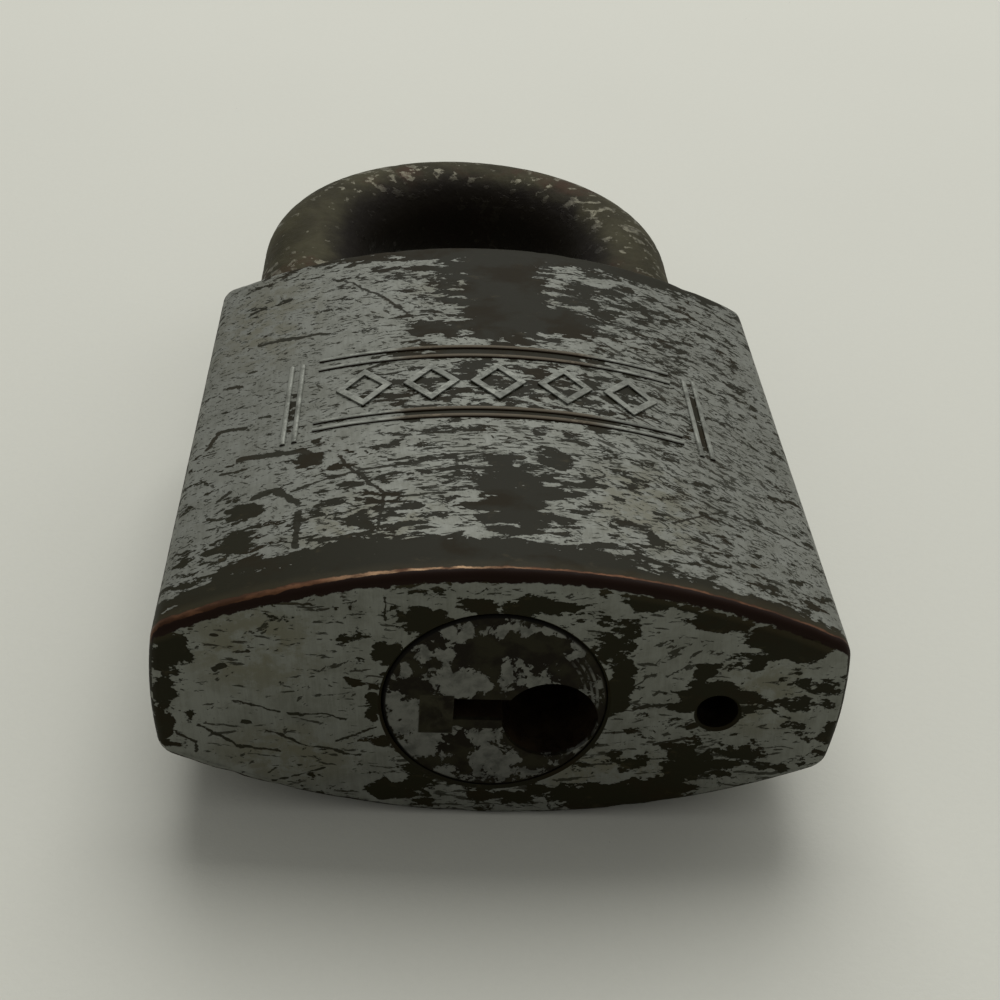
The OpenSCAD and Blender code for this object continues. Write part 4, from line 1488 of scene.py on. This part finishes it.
@dataclass
class Plug:
    """The turning plug with its keyway, its pin chambers and its retaining groove."""

    datum: Datum
    rim: float = 0.22 * MM
    bulb_radius: float = 3.1 * MM
    keyway_depth: float = 21.5 * MM
    slot_width: float = 1.75 * MM
    slot_end: float = -2.6 * MM
    slot_top: float = 0.3 * MM
    bulb_place: tuple[float, float] = (3.65 * MM, -1.35 * MM)
    groove_depth: float = 1 * MM
    over: float = 1 * MM
    fit: float = 0.05 * MM

    @property
    def box(self) -> Box:
        """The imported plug's box."""
        return Box.of("plug")

    def barrel(self) -> bpy.types.Object:
        """The plain turned barrel with a worn rim."""
        box = self.box
        low, high = box.low, box.high
        bm = bmesh.new()
        start = Vector((box.mid.x, low.y, box.mid.z))
        round_tool(bm, start, Along.Y, high.y - low.y, box.half_z, segments=128)
        front = [e for e in bm.edges if all(abs(v.co.y - low.y) < 0.01 * MM for v in e.verts)]
        bmesh.ops.bevel(bm, geom=front, offset=self.rim, segments=4, profile=0.5, affect="EDGES", material=-1)
        return new_piece("plug_barrel", bm)

    def cuts(self) -> list[bpy.types.Object]:
        """Tools for the keyway, the chambers and the groove.

        Returns:
            The cutting tools.
        """
        low, mid, radius = self.box.low, self.box.mid, self.box.half_z
        tools = []
        bm = bmesh.new()
        right, up = self.bulb_place
        bulb = Vector((mid.x + right, low.y - self.over, mid.z + up))
        depth = self.datum.keyhole_y + self.keyway_depth - low.y + self.over
        round_tool(bm, bulb, Along.Y, depth, self.bulb_radius, segments=72)
        tools.append(new_piece("keyway_round", bm))
        bm = bmesh.new()
        slot_low, slot_high = mid.x + self.slot_end, bulb.x
        centre = Vector(((slot_low + slot_high) / 2, low.y - self.over + depth / 2,
                         mid.z + self.slot_top - self.slot_width / 2))
        size = Matrix.Diagonal((slot_high - slot_low, depth, self.slot_width, 1))
        bmesh.ops.create_cube(bm, size=1.0, matrix=Matrix.Translation(centre) @ size)
        tools.append(new_piece("keyway_slot", bm))
        for i in range(1, PIN_STACKS + 1):
            pin = Box.of(f"key_pin_{i}")
            bm = bmesh.new()
            round_tool(bm, Vector((mid.x - radius - self.over, pin.mid.y, pin.mid.z)), Along.X,
                       radius + self.over - 0.5 * MM, pin.half_y + self.fit, segments=40)
            tools.append(new_piece(f"plug_chamber_{i}", bm))
        tools.append(self.groove())
        return tools

    def groove(self) -> bpy.types.Object:
        """The ring that the plug's retaining pin runs in."""
        pin, mid, radius = Box.of("plug_retaining_pin"), self.box.mid, self.box.half_z
        middle = Vector((mid.x, (pin.low.y + pin.high.y) / 2, mid.z))
        return ring_tool("plug_groove", middle, radius - self.groove_depth, radius + self.over,
                         pin.high.y - pin.low.y + 0.2 * MM)

    def build(self) -> bpy.types.Object:
        """Makes the whole plug.

        Returns:
            The plug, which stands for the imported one.
        """
        piece = self.barrel()
        combine(piece, self.cuts(), "DIFFERENCE")
        tidy_shading(piece, 32)
        finish = TarnishedPlug(spots=PLUG_SPOTS)
        piece.data.materials.append(finish.build("plug_tarnish", self.datum, self.box.mid, self.box.half_z))
        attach(piece, "plug")
        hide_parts("plug")
        return piece


# ---- The works inside ----


@dataclass
class PinSpring:
    """The coil spring between a driver pin and its chamber plug."""

    datum: Datum
    stack: int
    wire_radius: float = 0.17 * MM
    turns: int = 5
    turn_steps: int = 20
    travel: float = 2.0 * MM

    def build(self, metal: bpy.types.Material) -> bpy.types.Object:
        """Makes the spring.

        Args:
            metal: its finish.

        Returns:
            The spring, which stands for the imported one.
        """
        node = f"pin_spring_{self.stack}"
        box = Box.of(node)
        low, high, middle = box.low, box.high, box.mid
        ends = self.wire_radius + 0.01 * MM
        start = Vector((low.x + ends, middle.y, high.z - ends))
        bm = bmesh.new()
        ring = bmesh.ops.create_circle(bm, cap_ends=True, segments=10, radius=self.wire_radius,
                                       matrix=Matrix.Translation(start) @ Along.Y.value)["verts"]
        face = ring[0].link_faces[0]
        steps = self.turns * self.turn_steps
        rise = (high.x - low.x - 2 * ends) / steps
        bmesh.ops.spin(bm, geom=[face, *face.edges, *face.verts], cent=(start.x, middle.y, middle.z),
                       axis=(1, 0, 0), dvec=(rise, 0, 0), angle=2 * math.pi * self.turns, steps=steps)
        spring = new_piece(f"coil_{self.stack}", bm)
        spring.data.shade_smooth()
        spring.data.materials.append(metal)
        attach(spring, "case")
        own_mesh(spring)
        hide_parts(node)
        return spring


@dataclass
class Works:
    """The cam, bolts and pins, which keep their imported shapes, and the springs."""

    datum: Datum
    brass: TurnedMetal = TurnedMetal((0.52, 0.38, 0.17), (0.34, 0.24, 0.10))
    steel: TurnedMetal = TurnedMetal((0.42, 0.42, 0.43), (0.24, 0.23, 0.22), roughness=0.32)
    brass_nodes: tuple[str, ...] = ("tail_cam", "key_pin")
    capped_nodes: tuple[str, ...] = ("cross_bore_plug", "chamber_plugs")

    def dress(self, nodes: dict[str, bpy.types.Object]) -> int:
        """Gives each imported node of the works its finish.

        Args:
            nodes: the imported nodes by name.

        Returns:
            How many nodes were dressed.
        """
        brass = self.brass.build("works_brass", self.datum)
        steel = self.steel.build("works_steel", self.datum)
        caps = WornPlating(face=Face.BACK, worn=0.09).build("capped_bronze", self.datum,
                                                            Section(self.datum.half_width, self.datum.mid_z))
        shown = [n for n in sorted(nodes) if n not in ("case", "shackle", "plug")]
        for name in shown:
            metal = brass if name.startswith(self.brass_nodes) else steel
            metal = caps if name.startswith(self.capped_nodes) else metal
            nodes[name].data.materials.clear()
            nodes[name].data.materials.append(metal)
        for stack in range(1, PIN_STACKS + 1):
            PinSpring(self.datum, stack).build(steel)
        return len(shown)


# ---- The studio ----


@dataclass(frozen=True)
class Lamp:
    """A soft square lamp that points at the lock.

    Args:
        place: where it stands.
        size: its edge length.
        power: its watts.
        tint: its colour.
    """

    place: Point
    size: float
    power: float
    tint: Colour = (1.0, 1.0, 1.0)


@dataclass
class Studio:
    """The pale floor, the soft light and the camera."""

    datum: Datum
    floor_size: float = 6.0
    world_level: float = 0.31
    lamps: dict[str, Lamp] = field(default_factory=lambda: {
        "over": Lamp((0.04, 0.62, 0.90), 0.9, 9.3),
        "side": Lamp((0.70, 0.45, 0.60), 0.6, 1.0),
    })
    camera_place: Point = (-0.007443, -0.116552, 0.078893)
    camera_forward: Point = (0.06761, 0.82158, -0.56607)
    camera_up: Point = (-0.03215, 0.56887, 0.82180)
    camera_lens: float = 58.1

    def floor(self) -> None:
        """Lays the floor under the lock."""
        bm = bmesh.new()
        bmesh.ops.create_grid(bm, x_segments=1, y_segments=1, size=self.floor_size / 2)
        floor = new_piece("floor", bm)
        floor.data.materials.append(PaleTop().build("pale_top", self.datum))

    def light(self) -> None:
        """Sets the world's even light and the lamps."""
        world = bpy.data.worlds.new("studio")
        world.use_nodes = True
        world.node_tree.nodes["Background"].inputs["Color"].default_value = (1, 1, 1, 1)
        world.node_tree.nodes["Background"].inputs["Strength"].default_value = self.world_level
        bpy.context.scene.world = world
        for name, lamp in self.lamps.items():
            data = bpy.data.lights.new(name, "AREA")
            data.shape = "SQUARE"
            data.size = lamp.size
            data.energy = lamp.power
            data.color = lamp.tint
            holder = bpy.data.objects.new(name, data)
            holder.location = lamp.place
            holder.rotation_euler = (-Vector(lamp.place)).to_track_quat("-Z", "Y").to_euler()
            bpy.context.scene.collection.objects.link(holder)

    def camera(self) -> None:
        """Stands the camera in front of the keyhole end, looking down on the front face."""
        data = bpy.data.cameras.new("view")
        data.lens = self.camera_lens
        data.sensor_width = 36.0
        data.clip_start = 0.005
        holder = bpy.data.objects.new("view", data)
        forward, up = Vector(self.camera_forward).normalized(), Vector(self.camera_up).normalized()
        right = forward.cross(up).normalized()
        up = right.cross(forward)
        turn = Matrix((right, up, -forward)).transposed().to_4x4()
        holder.matrix_world = Matrix.Translation(self.camera_place) @ turn
        bpy.context.scene.collection.objects.link(holder)
        bpy.context.scene.camera = holder

    def build(self) -> None:
        """Makes the floor, the lamps and the camera."""
        self.floor()
        self.light()
        self.camera()


def plain(box: Iterable[Iterable[float]]) -> list[list[float]]:
    """A box as plain lists of numbers."""
    return [[float(c) for c in corner] for corner in box]


def main() -> None:
    logging.basicConfig(level=logging.INFO, format="%(name)s: %(message)s")
    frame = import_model()
    datum = Datum.from_frame()
    bpy.context.scene.view_settings.view_transform = "Standard"

    Studio(datum).build()
    for maker in (Case(datum), Shackle(datum), Plug(datum)):
        piece = maker.build()
        LOG.info("%s has %d faces", piece.name, len(piece.data.polygons))
    LOG.info("dressed %d nodes of the works", Works(datum).dress(frame["nodes"]))


if __name__ == "__main__":
    main()
